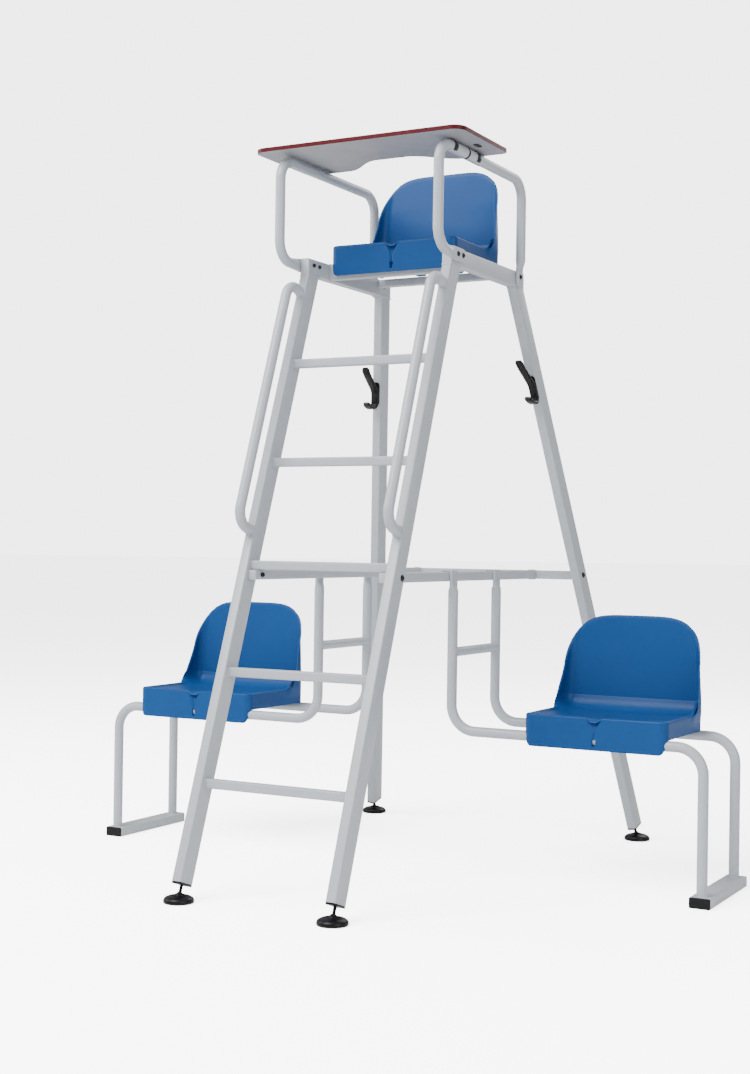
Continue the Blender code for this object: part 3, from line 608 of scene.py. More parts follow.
def weld(work, matrix, outline, bead=0.0023, pitch=0.0024):
    """A run of weld round a closed outline in the matrix's plane, rippled by its even steps."""
    corners = [Vector((*point, 0)) for point in outline]
    points = []
    for first, second in zip(corners, corners[1:] + corners[:1]):
        count = max(1, round((second - first).length / pitch))
        points += [matrix @ first.lerp(second, step / count) for step in range(count)]
    scales = [1.14 if index % 2 else 0.90 for index in range(len(points))]
    sweep(work, points, circle(bead, 8), matrix.to_3x3() @ Vector((0, 0, 1)), True, scales)


def button_bolt(work, matrix, radius=0.0062, washer=0.0082):
    """A domed socket-head bolt on a washer, standing on the matrix's z = 0."""
    turned(work, matrix, ((0.0, 0.0012), (washer - 0.0004, 0.0012), (washer, 0.0009), (washer, 0.0),
                          (0.0, 0.0)), 28)
    sides = 24
    dome = []
    for share, height in ((1.0, 0.0012), (1.0, 0.0020), (0.90, 0.0034), (0.72, 0.0043), (0.56, 0.0046)):
        dome.append(add_ring(work, matrix, [(x, y, height) for x, y in circle(radius * share, sides)]))
    join_all(work, dome)
    socket = []
    for index in range(sides):
        angle = 2 * math.pi * index / sides
        flat = math.cos(math.pi / 6) / math.cos((angle + math.pi / 6) % (math.pi / 3) - math.pi / 6)
        socket.append((0.48 * radius * flat * math.cos(angle), 0.48 * radius * flat * math.sin(angle)))
    rim = add_ring(work, matrix, [(x, y, 0.0045) for x, y in socket])
    floor = add_ring(work, matrix, [(x, y, 0.0020) for x, y in socket])
    join_rings(work, dome[-1], rim)
    join_rings(work, rim, floor)
    work.faces.new(floor)


def hex_nut(work, matrix, across=0.019, height=0.009, bore=0.0062):
    """A chamfered hexagon nut from the matrix's z = 0 upwards."""
    sides = 48
    chamfer = 0.0012
    flats = across / 2
    rings = []
    for level, inset in ((0.0, chamfer), (chamfer, 0.0), (height - chamfer, 0.0), (height, chamfer)):
        points = []
        for index in range(sides):
            angle = 2 * math.pi * index / sides
            reach = flats / math.cos((angle + math.pi / 6) % (math.pi / 3) - math.pi / 6)
            reach = min(reach, flats * 1.10) if inset == 0.0 else min(reach, flats * 1.10 - inset)
            points.append((reach * math.cos(angle), reach * math.sin(angle), level))
        rings.append(add_ring(work, matrix, points))
    inner = [add_ring(work, matrix, [(x, y, level) for x, y in circle(bore, sides)])
             for level in (0.0, height)]
    join_all(work, rings)
    join_rings(work, inner[0], rings[0])
    join_rings(work, rings[-1], inner[1])
    join_rings(work, inner[1], inner[0])


def threaded_rod(work, matrix, radius, bottom, top, pitch=0.00175, sides=24):
    """A rod whose thread is a true helix: each turn of a ring climbs one pitch."""
    depth = pitch * 0.55
    last = None
    level = bottom
    index = 0
    while level < top:
        reach = radius if index % 2 else radius - depth
        points = []
        for x, y in circle(1.0, sides):
            turn = math.atan2(y, x) / (2 * math.pi) % 1.0
            points.append((x * reach, y * reach, min(top, level + pitch * turn)))
        ring = add_ring(work, matrix, points)
        if last is None:
            work.faces.new(ring[::-1])
        else:
            join_rings(work, last, ring)
        last = ring
        level += pitch / 2
        index += 1
    work.faces.new(last)


def flat_plate(work, outline, bottom, top, easing=0.0008, matrix=Matrix()):
    """A plate with eased edges from an anticlockwise outline."""
    small = inset(outline, easing)
    rings = []
    for points, level in ((small, bottom), (outline, bottom + easing), (outline, top - easing), (small, top)):
        rings.append(add_ring(work, matrix, [(x, y, level) for x, y in points]))
    join_all(work, rings)
    close_ends(work, rings)


def inset(outline, distance):
    """An anticlockwise outline moved inwards by the distance, square to each of its sides."""
    moved = []
    for index, point in enumerate(outline):
        corner = Vector(point)
        before = (corner - Vector(outline[index - 1])).normalized()
        after = (Vector(outline[(index + 1) % len(outline)]) - corner).normalized()
        square = Vector((-before.y, before.x))
        inward = (square + Vector((-after.y, after.x))).normalized()
        moved.append(corner + inward * distance / inward.dot(square))
    return moved


# ---------------------------------------------------------------- places on the frame

def front_centre(height):
    return Vector((FRONT_X, FRONT_Y0 + FRONT_LEAN * height, height))


def rear_centre(height):
    return Vector((REAR_X0 + REAR_SPLAY * height, REAR_Y0 + REAR_LEAN * height, height))


def mirrored(point, sign):
    return Vector((point[0] * sign, point[1], point[2]))


def leg_axis(end, sign):
    """(point of the leg's axis at its lower end, direction up the leg)."""
    centre = front_centre if end == "front" else rear_centre
    bottom = mirrored(centre(LEG_BOTTOM_Z), sign)
    return bottom, (mirrored(centre(1.0), sign) - mirrored(centre(0.0), sign)).normalized()


def rear_inner_x(height):
    """How far out the inner face of a rear leg is at this height."""
    return rear_centre(height).x - LEG_WIDTH / 2 * math.hypot(1, REAR_SPLAY)


# ---------------------------------------------------------------- the tower

def make_legs():
    top_z = SEAT_RAIL_Z[0] - GAP
    for end in ("front", "rear"):
        centre = front_centre if end == "front" else rear_centre
        for side, sign in SIDES.items():
            bottom, _ = leg_axis(end, sign)
            work = bmesh.new()
            top = mirrored(centre(top_z), sign)
            box_tube(work, bottom, top, LEG_WIDTH, LEG_DEPTH, closed=False, cut_z=top_z)
            name = f"{end}_leg_{side}"
            finish_piece(f"{name}_tube", work, "grey_powder_coat", "tower", [name])


def make_rungs():
    half = FRONT_X - LEG_WIDTH / 2
    for index in range(RUNG_COUNT):
        height = RUNG_FIRST_Z + index * RUNG_PITCH
        middle = front_centre(height)
        work = bmesh.new()
        ends = [(reach, middle.y, height) for reach in (-half, half)]
        box_tube(work, *ends, RUNG_SIZE, RUNG_SIZE, (0, 0, 1), 0.004)
        outline = rounded_rectangle(RUNG_SIZE + 0.001, RUNG_SIZE + 0.001, 0.004)
        for sign in SIDES.values():
            weld(work, axes_at((sign * (half - 0.001), middle.y, height), (sign, 0, 0), (0, 0, 1)), outline)
        finish_piece(f"rung_{index + 1}_tube", work, "grey_powder_coat", "tower", [f"rung_{index + 1}"])


def make_mid_rails():
    half = rear_inner_x(MID_Z) - 3 * GAP
    rear_y = MID_CROSS_Y - MID_WIDTH / 2
    cross = bmesh.new()
    ends = [(reach, MID_CROSS_Y, MID_Z) for reach in (-half, half)]
    box_tube(cross, *ends, MID_HEIGHT, MID_WIDTH, (0, 0, 1), 0.003)
    outline = rounded_rectangle(MID_WIDTH + 0.0005, MID_HEIGHT + 0.0005, 0.003)
    for side, sign in SIDES.items():
        across = sign * (FRONT_X - LEG_WIDTH / 2 - GAP - MID_WIDTH / 2)
        work = bmesh.new()
        ends = [(across, depth, MID_Z) for depth in (MID_FRONT_Y, rear_y)]
        box_tube(work, *ends, MID_WIDTH, MID_HEIGHT, corner=0.003)
        finish_piece(f"mid_rail_{side}_tube", work, "grey_powder_coat", "tower", [f"mid_rail_{side}"])
        weld(cross, axes_at((across, rear_y - 0.0005, MID_Z), (0, 1, 0)), outline)
    finish_piece("mid_cross_rail_tube", cross, "grey_powder_coat", "tower", ["mid_cross_rail"])


def make_seat_frame():
    middle_z = sum(SEAT_RAIL_Z) / 2
    height = SEAT_RAIL_Z[1] - SEAT_RAIL_Z[0]
    for side, sign in SIDES.items():
        work = bmesh.new()
        start = (sign * FRONT_X, SEAT_RAIL_Y[0], middle_z)
        box_tube(work, start, (sign * FRONT_X, SEAT_RAIL_Y[1], middle_z), SEAT_RAIL_WIDTH, height)
        for centre, slope in ((front_centre, FRONT_LEAN), (rear_centre, REAR_LEAN)):
            spot = mirrored(centre(SEAT_RAIL_Z[0]), sign)
            reach = LEG_DEPTH * math.hypot(1, slope)
            outline = rounded_rectangle(LEG_WIDTH, reach, 0.003)
            weld(work, Matrix.Translation((spot.x, spot.y, SEAT_RAIL_Z[0] - 0.0008)), outline)
        finish_piece(f"seat_rail_{side}_tube", work, "grey_powder_coat", "tower", [f"seat_rail_{side}"])
    half = FRONT_X - SEAT_RAIL_WIDTH / 2
    rear_z = SEAT_RAIL_Z[1] - REAR_CROSS_HEIGHT / 2
    for end, across, level, tall in (("front", FRONT_CROSS_Y, middle_z, height),
                                     ("rear", REAR_CROSS_Y, rear_z, REAR_CROSS_HEIGHT)):
        work = bmesh.new()
        box_tube(work, (-half, across, level), (half, across, level), tall, CROSS_DEPTH, (0, 0, 1), 0.003)
        outline = rounded_rectangle(tall, CROSS_DEPTH, 0.003)
        for sign in SIDES.values():
            matrix = axes_at((sign * (half - 0.0008), across, level), (sign, 0, 0), (0, 0, 1))
            weld(work, matrix, outline, 0.0020)
        finish_piece(f"seat_cross_{end}_tube", work, "grey_powder_coat", "tower", [f"seat_cross_{end}"])


def pressed(offset, half_flat):
    """Where a point at this offset from a tube's middle plane goes when the tube is pressed flat."""
    share = min(1.0, 1.9 * abs(offset) / TUBE_RADIUS)
    return math.copysign(half_flat * math.sin(share * math.pi / 2), offset)


def tongue_width(distance):
    """How wide a pressed end is, as a share of its full width, at this distance from its round tip."""
    share = 1 - min(1.0, distance / (FLAT_WIDTH / 2))
    return math.sqrt(max(0.03, 1 - share * share))


def make_arms():
    flat_x = FRONT_X + SEAT_RAIL_WIDTH / 2 + GAP + FLAT_THICKNESS / 2
    widen = FLAT_WIDTH / 2 / TUBE_RADIUS
    for side, sign in SIDES.items():
        corners = [(sign * ARM_X, ARM_TAIL_Y, ARM_TAIL_Z), (sign * ARM_X, ARM_FRONT_Y, ARM_TAIL_Z),
                   (sign * ARM_X, ARM_FRONT_Y, ARM_TOP_Z), (sign * ARM_X, ARM_REAR_Y, ARM_TOP_Z),
                   (sign * ARM_X, ARM_REAR_Y, ARM_REAR_END_Z)]
        points = stepped_start(rounded_path(corners, ARM_BEND), 0.094)
        points = stepped_start(points[::-1], 0.090)[::-1]

        def shape(spot, sign=sign):
            if spot.z > 1.90:
                return spot
            if spot.y > 0:
                share = ramp(spot.z, 1.872, 1.840)
                width = tongue_width(spot.z - ARM_REAR_END_Z)
            else:
                share = ramp(spot.y, -0.210, -0.180)
                width = tongue_width(ARM_TAIL_Y - spot.y)
            thinned = sign * flat_x + pressed(spot.x - sign * ARM_X, FLAT_THICKNESS / 2)
            flat = Vector((thinned, spot.y, spot.z))
            if spot.y > 0:
                flat.y = ARM_REAR_Y + (spot.y - ARM_REAR_Y) * widen * width
            else:
                flat.z = ARM_TAIL_Z + (spot.z - ARM_TAIL_Z) * widen * width
            return spot.lerp(flat, share)

        work = bmesh.new()
        sweep(work, points, circle(TUBE_RADIUS), (1, 0, 0), shape=shape)
        finish_piece(f"arm_{side}_tube", work, "grey_powder_coat", "tower", [f"arm_{side}"])
        bolts = bmesh.new()
        face = sign * (flat_x + FLAT_THICKNESS / 2 - 0.0002)
        inner = sign * (FRONT_X - SEAT_RAIL_WIDTH / 2)
        for across, level in ARM_BOLTS:
            button_bolt(bolts, axes_at((face, across, level), (sign, 0, 0), (0, 0, 1)))
            behind = axes_at((inner, across, level), (-sign, 0, 0), (0, 0, 1))
            hex_nut(bolts, behind, 0.011, 0.0055, 0.0034)
            threaded_rod(bolts, behind, 0.0030, 0.0, 0.0075, 0.001, 12)
        finish_piece(f"arm_bolts_{side}", bolts, "black_steel", "tower")


def make_handrails():
    slope = math.hypot(1, FRONT_LEAN)
    outward = Vector((0, -1, FRONT_LEAN)) / slope
    for side, sign in SIDES.items():
        faces = [mirrored(front_centre(height), sign) + Vector((0, -LEG_DEPTH / 2 * slope, 0))
                 for height in HANDRAIL_RETURN_Z]
        low, high = faces
        corners = [low, low + outward * HANDRAIL_STANDOFF, high + outward * HANDRAIL_STANDOFF, high]
        work = bmesh.new()
        sweep(work, rounded_path(corners, HANDRAIL_BEND), circle(TUBE_RADIUS), (1, 0, 0))
        for face in faces:
            weld(work, axes_at(face + outward * 0.0008, outward), circle(TUBE_RADIUS + 0.0006))
        finish_piece(f"handrail_{side}_tube", work, "grey_powder_coat", "tower", [f"handrail_{side}"])


def make_rail_bolts():
    """Bolts through the legs into the half-height rails, with a nut on the inner end of the front ones."""
    for side, sign in SIDES.items():
        for name in ("mid_rail_bolt", "cross_rail_bolt"):
            low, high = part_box(f"{name}_{side}")
            middle = (low + high) / 2
            if name == "mid_rail_bolt":
                axis = Vector((sign, 0, 0))
                spot = Vector((sign * (FRONT_X + LEG_WIDTH / 2), middle.y, middle.z))
            else:
                _, up = leg_axis("rear", sign)
                axis = axes_at((0, 0, 0), up, (sign, 0, 0)).to_3x3() @ Vector((1, 0, 0))
                spot = mirrored(rear_centre(MID_Z), sign) + axis * LEG_WIDTH / 2
            work = bmesh.new()
            button_bolt(work, axes_at(spot, axis, (0, 1, 0)), 0.0075, 0.0095)
            if name == "mid_rail_bolt":
                nut_at = Vector((sign * (FRONT_X - LEG_WIDTH / 2 - MID_WIDTH - GAP), middle.y, middle.z))
                hex_nut(work, axes_at(nut_at, -axis, (0, 1, 0)), 0.013, 0.0065, 0.004)
            finish_piece(f"{name}_head_{side}", work, "black_steel", "tower", [f"{name}_{side}"])


def make_hooks():
    """Coat hooks: a strip on a plate, made upright in front of the leg, then leaned and splayed with it."""
    low, high = HOOK_PLATE
    reach = LEG_DEPTH / 2 * math.hypot(1, REAR_LEAN) + GAP
    line = smooth_line(HOOK_LINE)
    for side, sign in SIDES.items():
        work = bmesh.new()
        points = [Vector((0, -depth, height)) for depth, height in line]
        section = rounded_rectangle(HOOK_WIDTH, HOOK_THICKNESS, 0.0042)
        easing = [0.70, 0.90] + [1.0] * (len(points) - 4) + [0.90, 0.70]
        sweep(work, points, section, (1, 0, 0), scales=easing)
        plate = rounded_rectangle(HOOK_WIDTH, high - low, 0.0105, 8)
        flat_plate(work, plate, 0.0, 0.0058, 0.0012, axes_at((0, 0, (low + high) / 2), (0, -1, 0)))
        screws = bmesh.new()
        for height in (high - 0.010, low + 0.010):
            button_bolt(screws, axes_at((0, -0.0056, height), (0, -1, 0)), 0.0036, 0.0040)
        place = mirrored(rear_centre(HOOK_Z), sign) - Vector((0, reach, 0))
        for mesh in (work, screws):
            for vertex in mesh.verts:
                height = vertex.co.z
                vertex.co = place + vertex.co + Vector((REAR_SPLAY * sign * height, REAR_LEAN * height, 0))
        finish_piece(f"coat_hook_{side}", work, "black_plastic", "tower", [f"hook_{side}"], sharp=45)
        finish_piece(f"coat_hook_screws_{side}", screws, "black_steel", "tower")


# ---------------------------------------------------------------- the desk

def desk_outline():
    """The board's plan outline, anticlockwise: rounded corners and a body cut-out at the rear."""
    front_radius, rear_radius = DESK_CORNERS
    front, rear = DESK_Y
    right = arc((DESK_X - front_radius, front + front_radius), front_radius, -90, 0, 20)
    right += arc((DESK_X - rear_radius, rear - rear_radius), rear_radius, 0, 90, 14)
    steps = 40
    for step in range(steps + 1):
        share = step / steps
        across = DESK_CUT_END + (DESK_CUT_FLAT - DESK_CUT_END) * share
        right.append((across, rear + (DESK_CUT_Y - rear) * (1 - math.cos(math.pi * share)) / 2))
    return right + [(-across, depth) for across, depth in reversed(right)]


def make_desk():
    work = bmesh.new()
    flat_plate(work, inset(desk_outline(), BAND_THICKNESS), DESK_UNDERSIDE_Z, DESK_TOP_Z, 0.0003)
    finish_piece("desk_board_laminate", work, "board_face", "desk", ["desk_board"])
    work = bmesh.new()
    outer = desk_outline()
    easing = 0.0006
    eased = inset(outer, easing)
    inner = inset(outer, BAND_THICKNESS + 0.0001)
    rings = []
    for points, level in ((inner, DESK_UNDERSIDE_Z), (eased, DESK_UNDERSIDE_Z),
                          (outer, DESK_UNDERSIDE_Z + easing), (outer, DESK_TOP_Z - easing),
                          (eased, DESK_TOP_Z), (inner, DESK_TOP_Z)):
        rings.append(add_ring(work, Matrix(), [(x, y, level) for x, y in points]))
    join_all(work, rings + rings[:1])
    finish_piece("desk_edge_band_strip", work, "red_edge_band", "desk", ["desk_edge_band"])
    radius = DESK_UNDERSIDE_Z - STRAP_THICKNESS / 2 - ARM_TOP_Z
    for end in ("front", "rear"):
        make_clamp(end, *CLAMP_Y[end])
        make_strap(end, STRAP_Y[end], radius)
    # A black ring stands for the shade in the gap between the sleeves: a painted shadow.
    make_gap_shade_ring()
    # A small black plate under the board: a painted shadow for the dark slot of shade there.
    work = bmesh.new()
    place = Matrix.Translation((SHADOW_PLATE_X, CLAMP_Y["front"][1] + 0.006, DESK_UNDERSIDE_Z - 0.0025))
    flat_plate(work, rounded_rectangle(*SHADOW_PLATE_SIZE, 0.004), 0.0, 0.0022, 0.0006, place)
    finish_piece("desk_shadow_plate", work, "black_steel", "desk")


def make_gap_shade_ring():
    """A black ring on the arm between the two sleeves: a painted shadow, dark where the gap between them lies
    in shade.
    """
    start = CLAMP_Y["front"][1] + 0.0005
    stop = CLAMP_Y["rear"][0] - 0.0005
    inner = TUBE_RADIUS + 0.0001
    outer = inner + 0.0024
    profile = ((inner, stop), (outer - 0.0006, stop), (outer, stop - 0.0006), (outer, start + 0.0006),
               (outer - 0.0006, start), (inner, start), (inner, stop))
    work = bmesh.new()
    turned(work, axes_at((ARM_X, 0, ARM_TOP_Z), (0, 1, 0)), profile, 48)
    finish_piece("desk_gap_shade_ring", work, "black_plastic", "tower")


def make_clamp(end, start, stop):
    """A saddle sleeve round the arm, with a rolled edge at each end."""
    inner = TUBE_RADIUS + GAP
    outer = inner + CLAMP_WALL
    roll = 0.0007
    profile = ((inner, stop - roll), (inner + roll, stop), (outer - roll, stop), (outer, stop - roll),
               (outer, start + roll), (outer - roll, start), (inner + roll, start), (inner, start + roll),
               (inner, stop - roll))
    work = bmesh.new()
    turned(work, axes_at((ARM_X, 0, ARM_TOP_Z), (0, 1, 0)), profile, 48)
    finish_piece(f"desk_clamp_{end}_sleeve", work, "grey_powder_coat", "desk", [f"desk_clamp_{end}"])


def make_strap(end, middle, radius):
    """A strap with a foot screwed under the board, carried over the sleeve and down its outer side."""
    outline = [(STRAP_FOOT_X, ARM_TOP_Z + radius)]
    run = ARM_X - STRAP_FOOT_X
    outline += [(STRAP_FOOT_X + run * step / 8, ARM_TOP_Z + radius) for step in range(1, 8)]
    outline += arc((ARM_X, ARM_TOP_Z), radius, 90, -50, 28)
    points = [Vector((across, middle, height)) for across, height in outline]
    work = bmesh.new()
    sweep(work, points, rounded_rectangle(STRAP_THICKNESS, STRAP_WIDTH, 0.0006, 2), (0, 0, 1))
    level = ARM_TOP_Z + radius - STRAP_THICKNESS / 2
    button_bolt(work, axes_at((STRAP_FOOT_X + 0.008, middle, level), (0, 0, -1)), 0.0042, 0.0052)
    finish_piece(f"desk_strap_{end}_bent", work, "black_steel", "desk", [f"desk_strap_{end}"])


# ---------------------------------------------------------------- levelling feet

def make_feet():
    for end in ("front", "rear"):
        for side, sign in SIDES.items():
            body = f"foot_{end}_{side}"
            name = f"foot_pad_{end}_{side}"
            low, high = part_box(name)
            centre = Matrix.Translation(((low.x + high.x) / 2, (low.y + high.y) / 2, 0))
            radius = (high.x - low.x) / 2 + PAD_EXTRA
            profile = [(0.0, high.z - 0.0006), (0.0070, high.z - 0.0006), (0.0072, high.z), (0.0105, high.z),
                       (0.0118, high.z - 0.0010), (0.0126, 0.0212)]
            profile += [(radius - 0.0006 - 0.0234 * (1 - math.sin(math.radians(angle))) ** 0.92,
                         0.0088 + 0.0110 * math.cos(math.radians(angle))) for angle in range(10, 91, 8)]
            profile += [(radius, 0.0070), (radius, 0.0022), (radius - 0.0015, 0.0006), (radius - 0.0040, 0.0),
                        (0.030, 0.0), (0.0292, 0.0010), (0.0, 0.0010)]
            work = bmesh.new()
            turned(work, centre, profile, 56)
            for index in range(PAD_RIBS):
                turn = centre @ Matrix.Rotation(2 * math.pi * index / PAD_RIBS, 4, "Z")
                rib = [turn @ Vector((reach, 0, height)) for reach, height in PAD_RIB]
                sweep(work, rib, circle(0.0012, 8), (0, 0, 1), scales=(0.9, 1.0, 1.0, 0.9, 0.5))
            finish_piece(f"{name}_moulded", work, "black_plastic", body, [name])
            make_stem(end, side, sign, body, high.z)


def make_stem(end, side, sign, body, pad_top):
    bottom, up = leg_axis(end, sign)
    matrix = axes_at(bottom, up)
    foot = (bottom.z - pad_top) / up.z
    work = bmesh.new()
    threaded_rod(work, matrix, 0.0050, -foot - 0.0025, 0.030)
    turned(work, matrix @ Matrix.Translation((0, 0, -foot)),
           ((0.0, 0.0030), (0.0068, 0.0030), (0.0080, 0.0012), (0.0076, -0.0022), (0.0, -0.0022)), 32)
    finish_piece(f"foot_stem_{end}_{side}_thread", work, "black_steel", body, [f"foot_stem_{end}_{side}"])
    work = bmesh.new()
    outline = rounded_rectangle(LEG_WIDTH, LEG_DEPTH, CORNER)
    flat_plate(work, outline, -GAP - PLUG_FLANGE, -GAP, 0.0009, matrix)
    flat_plate(work, inset(outline, WALL + 0.0006), -GAP, 0.018, 0.0006, matrix)
    finish_piece(f"leg_plug_{end}_{side}_moulded", work, "black_plastic", "tower", [f"leg_plug_{end}_{side}"])


# ---------------------------------------------------------------- seat shells

def shell_columns():
    """Distances from the middle to the side: close at the groove and at the side wall, wide between."""
    fine = [GROOVE_HALF * 1.1 * step / 10 for step in range(11)]
    bend = SHELL_HALF - SHELL_REAR_CORNER
    count = 8
    wide = [fine[-1] + (bend - fine[-1]) * step / count for step in range(1, count)]
    steps = 12
    side = [bend + SHELL_REAR_CORNER * math.sin(math.pi / 2 * step / steps) for step in range(steps + 1)]
    half = fine + wide + side
    return [-x for x in half[:0:-1]] + half


def shell_rows():
    """Shares of the pan's depth: close at the front edge, at the wings and in the fillet at the rear."""
    front = [0.0, 0.0012, 0.004, 0.009, 0.015, 0.024, 0.036, 0.052, 0.075, 0.105]
    pan = [0.14 + 0.04 * step for step in range(13)]
    wing = [0.64 + 0.018 * step for step in range(16)]
    rear = [0.924, 0.937, 0.949, 0.960, 0.970, 0.979, 0.987, 0.994, 1.0]
    return front + pan + wing + rear


def front_edge(across):
    """Depth of the apron's face, which curls back at its corners."""
    past = abs(across) - (SHELL_HALF - SHELL_FRONT_CORNER)
    if past <= 0:
        return 0.0
    return SHELL_FRONT_CORNER - math.sqrt(max(0.0, SHELL_FRONT_CORNER ** 2 - past ** 2))


def rear_edge(across):
    past = abs(across) - (SHELL_HALF - SHELL_REAR_CORNER)
    if past <= 0:
        return SHELL_REAR_Y
    return SHELL_REAR_Y - SHELL_REAR_CORNER + math.sqrt(max(0.0, SHELL_REAR_CORNER ** 2 - past ** 2))


def edge_distance(across, corner, edge):
    """Distance in from the side and from the front or rear edge, round the corner between them."""
    beside = SHELL_HALF - abs(across)
    if beside < corner and edge < corner:
        return corner - math.hypot(corner - beside, corner - edge)
    return min(beside, edge)


def pan_height(across, depth):
    """Height of the seat's upper face: rounded rim, flat lip, a step down, a dish and a rear fillet."""
    front = edge_distance(across, SHELL_FRONT_CORNER, depth)
    rear = edge_distance(across, SHELL_REAR_CORNER, SHELL_REAR_Y - depth)
    wing = ramp(depth, SHELL_WING[0] - 0.004, SHELL_WING[0] + 0.036)
    dish = (1 - (across / SHELL_HALF) ** 2) ** 1.5 * math.sin(math.pi * min(1.0, depth / SHELL_REAR_Y)) ** 0.8
    step = ramp(front, 0.009, 0.022) * (1 - wing) + wing
    floor = SHELL_RIM_Z - SHELL_STEP * step - SHELL_DISH * dish
    rim = SHELL_EDGE - math.sqrt(max(0.0, SHELL_EDGE ** 2 - max(0.0, SHELL_EDGE - front) ** 2))
    near = max(0.0, SHELL_FILLET - max(0.0, rear - 0.0008))
    rise = SHELL_FILLET - math.sqrt(max(0.0, SHELL_FILLET ** 2 - near ** 2))
    groove = 0.0095 * ramp(depth, 0.050, 0.004) * ramp(abs(across), GROOVE_HALF, 0.006)
    return floor - rim * (1 - wing) + rise * wing - groove


def crown_height(across, depth):
    """Height of the shell's upper edge at this place on its outline: low, then wings and crown."""
    start, low = SHELL_WING
    level, rise, power = SHELL_CROWN
    side_end = SHELL_REAR_Y - SHELL_REAR_CORNER
    if depth <= start:
        return low
    if depth < side_end and abs(across) > SHELL_HALF - 1e-4:
        share = (depth - start) / (side_end - start)
        return low + (level - low) * share ** SHELL_WING_POWER
    return level + rise * math.sqrt(max(0.0, 1 - (abs(across) / SHELL_HALF) ** power))


def skirt_bottom(across, depth):
    """Height of the shell's lower edge: full apron, side walls that stop above the tubes, a short rear."""
    if depth < SHELL_FRONT_CORNER:
        radius = SHELL_APRON_CORNER
        past = min(radius, max(0.0, abs(across) - (SHELL_HALF - 0.008 - radius)))
        corner = radius - math.sqrt(radius ** 2 - past ** 2)
        return corner + (SHELL_SIDE_BOTTOM - radius) * ramp(depth, 0.005, 0.013)
    if depth > SHELL_REAR_Y - SHELL_REAR_CORNER:
        return SHELL_SIDE_BOTTOM + 0.034 * ramp(SHELL_HALF - abs(across), 0.009, 0.026)
    return SHELL_SIDE_BOTTOM


def groove_depth(across, height):
    """How far the apron's face is pressed in: a V that narrows down from the rim, and a notch below."""
    share = ramp(height, GROOVE_FOOT_Z - 0.004, SHELL_RIM_Z)
    half = 0.0050 + (GROOVE_HALF - 0.0050) * share
    valley = (0.0040 + 0.0120 * share) * ramp(abs(across), half, half * 0.10)
    notch = 0.0110 * ramp(abs(across), 0.0058, 0.0028) * ramp(height, 0.032, 0.027)
    notch *= ramp(height, 0.009, 0.0135)
    return valley * ramp(height, 0.020, 0.030) + notch


def leaned(across, depth, height):
    """A point of the shell: its back leans and narrows as it rises, and the wings flare where they start."""
    rise = max(0.0, (height - SHELL_RIM_Z) / 0.27)
    rear = ramp(depth, SHELL_WING[0] - 0.02, SHELL_WING[0] + 0.05)
    flare = SHELL_FLARE * ramp(depth, 0.215, 0.250) * ramp(depth, 0.325, 0.285)
    flare *= ramp(height, 0.060, 0.100) * ramp(height, 0.220, 0.120)
    spread = 1 + flare * (across / SHELL_HALF) ** 6 - SHELL_TAPER * rise ** 1.5
    bow = SHELL_BOW * min(rise, 0.6) * (across / SHELL_HALF) ** 2
    return Vector((across * spread, depth + (SHELL_LEAN * rise - bow) * rear, height))


def shell_skin():
    """The shell as one open skin, faces out: the pan, and the wall round it that the pan's rim runs into."""
    work = bmesh.new()
    columns = shell_columns()
    rows = shell_rows()
    grid = []
    outline = {}
    for row, share in enumerate(rows):
        line = []
        for column, across in enumerate(columns):
            depth = front_edge(across) + share * (rear_edge(across) - front_edge(across))
            on_edge = row in (0, len(rows) - 1) or column in (0, len(columns) - 1)
            if on_edge:
                outline[(row, column)] = (across, depth)
            height = pan_height(across, depth)
            inward = 0.0028 * ramp(depth, SHELL_WING[0], SHELL_WING[0] + 0.03)
            x = across - math.copysign(inward * (abs(across) / SHELL_HALF) ** 10, across)
            line.append(work.verts.new(leaned(x, depth - inward * share ** 10, height)))
        grid.append(line)
    for low, high in zip(grid, grid[1:]):
        for index in range(len(columns) - 1):
            work.faces.new((low[index], low[index + 1], high[index + 1], high[index]))
    last_row = len(rows) - 1
    last_column = len(columns) - 1
    loop = [(0, column) for column in range(last_column + 1)]
    loop += [(row, last_column) for row in range(1, last_row + 1)]
    loop += [(last_row, column) for column in range(last_column - 1, -1, -1)]
    loop += [(row, 0) for row in range(last_row - 1, 0, -1)]
    wall = []
    for index, key in enumerate(loop):
        across, depth = outline[key]
        before = Vector(outline[loop[index - 1]])
        after = Vector(outline[loop[(index + 1) % len(loop)]])
        run = (after - before).normalized()
        outward = Vector((run.y, -run.x, 0))
        bottom = skirt_bottom(across, depth)
        top = crown_height(across, depth)
        lip = SHELL_LIP * ramp(depth, SHELL_WING[0], SHELL_WING[0] + 0.030)
        line = []
        for step in range(SHELL_WALL_ROWS + 1):
            height = bottom + (top - lip - bottom) * step / SHELL_WALL_ROWS
            point = leaned(across, depth, height)
            if key[0] == 0:
                point.y += groove_depth(across, height)
            line.append(work.verts.new(point))
        if key[0] == 0:
            line[-1].co = grid[0][key[1]].co
        for angle in (30, 60, 90):
            turn = math.radians(angle)
            point = leaned(across, depth, top - lip + lip * math.sin(turn))
            point += outward * lip * (1 - math.cos(turn))
            if lip > 0:
                line.append(work.verts.new(point))
            else:
                line.append(line[-1])
        wall.append(line)
    for index, line in enumerate(wall):
        after = wall[(index + 1) % len(wall)]
        for step in range(len(line) - 1):
            corners = []
            for vertex in (line[step], after[step], after[step + 1], line[step + 1]):
                if vertex not in corners:
                    corners.append(vertex)
            if len(corners) > 2:
                work.faces.new(corners)
    bmesh.ops.remove_doubles(work, verts=work.verts, dist=2e-5)
    return work


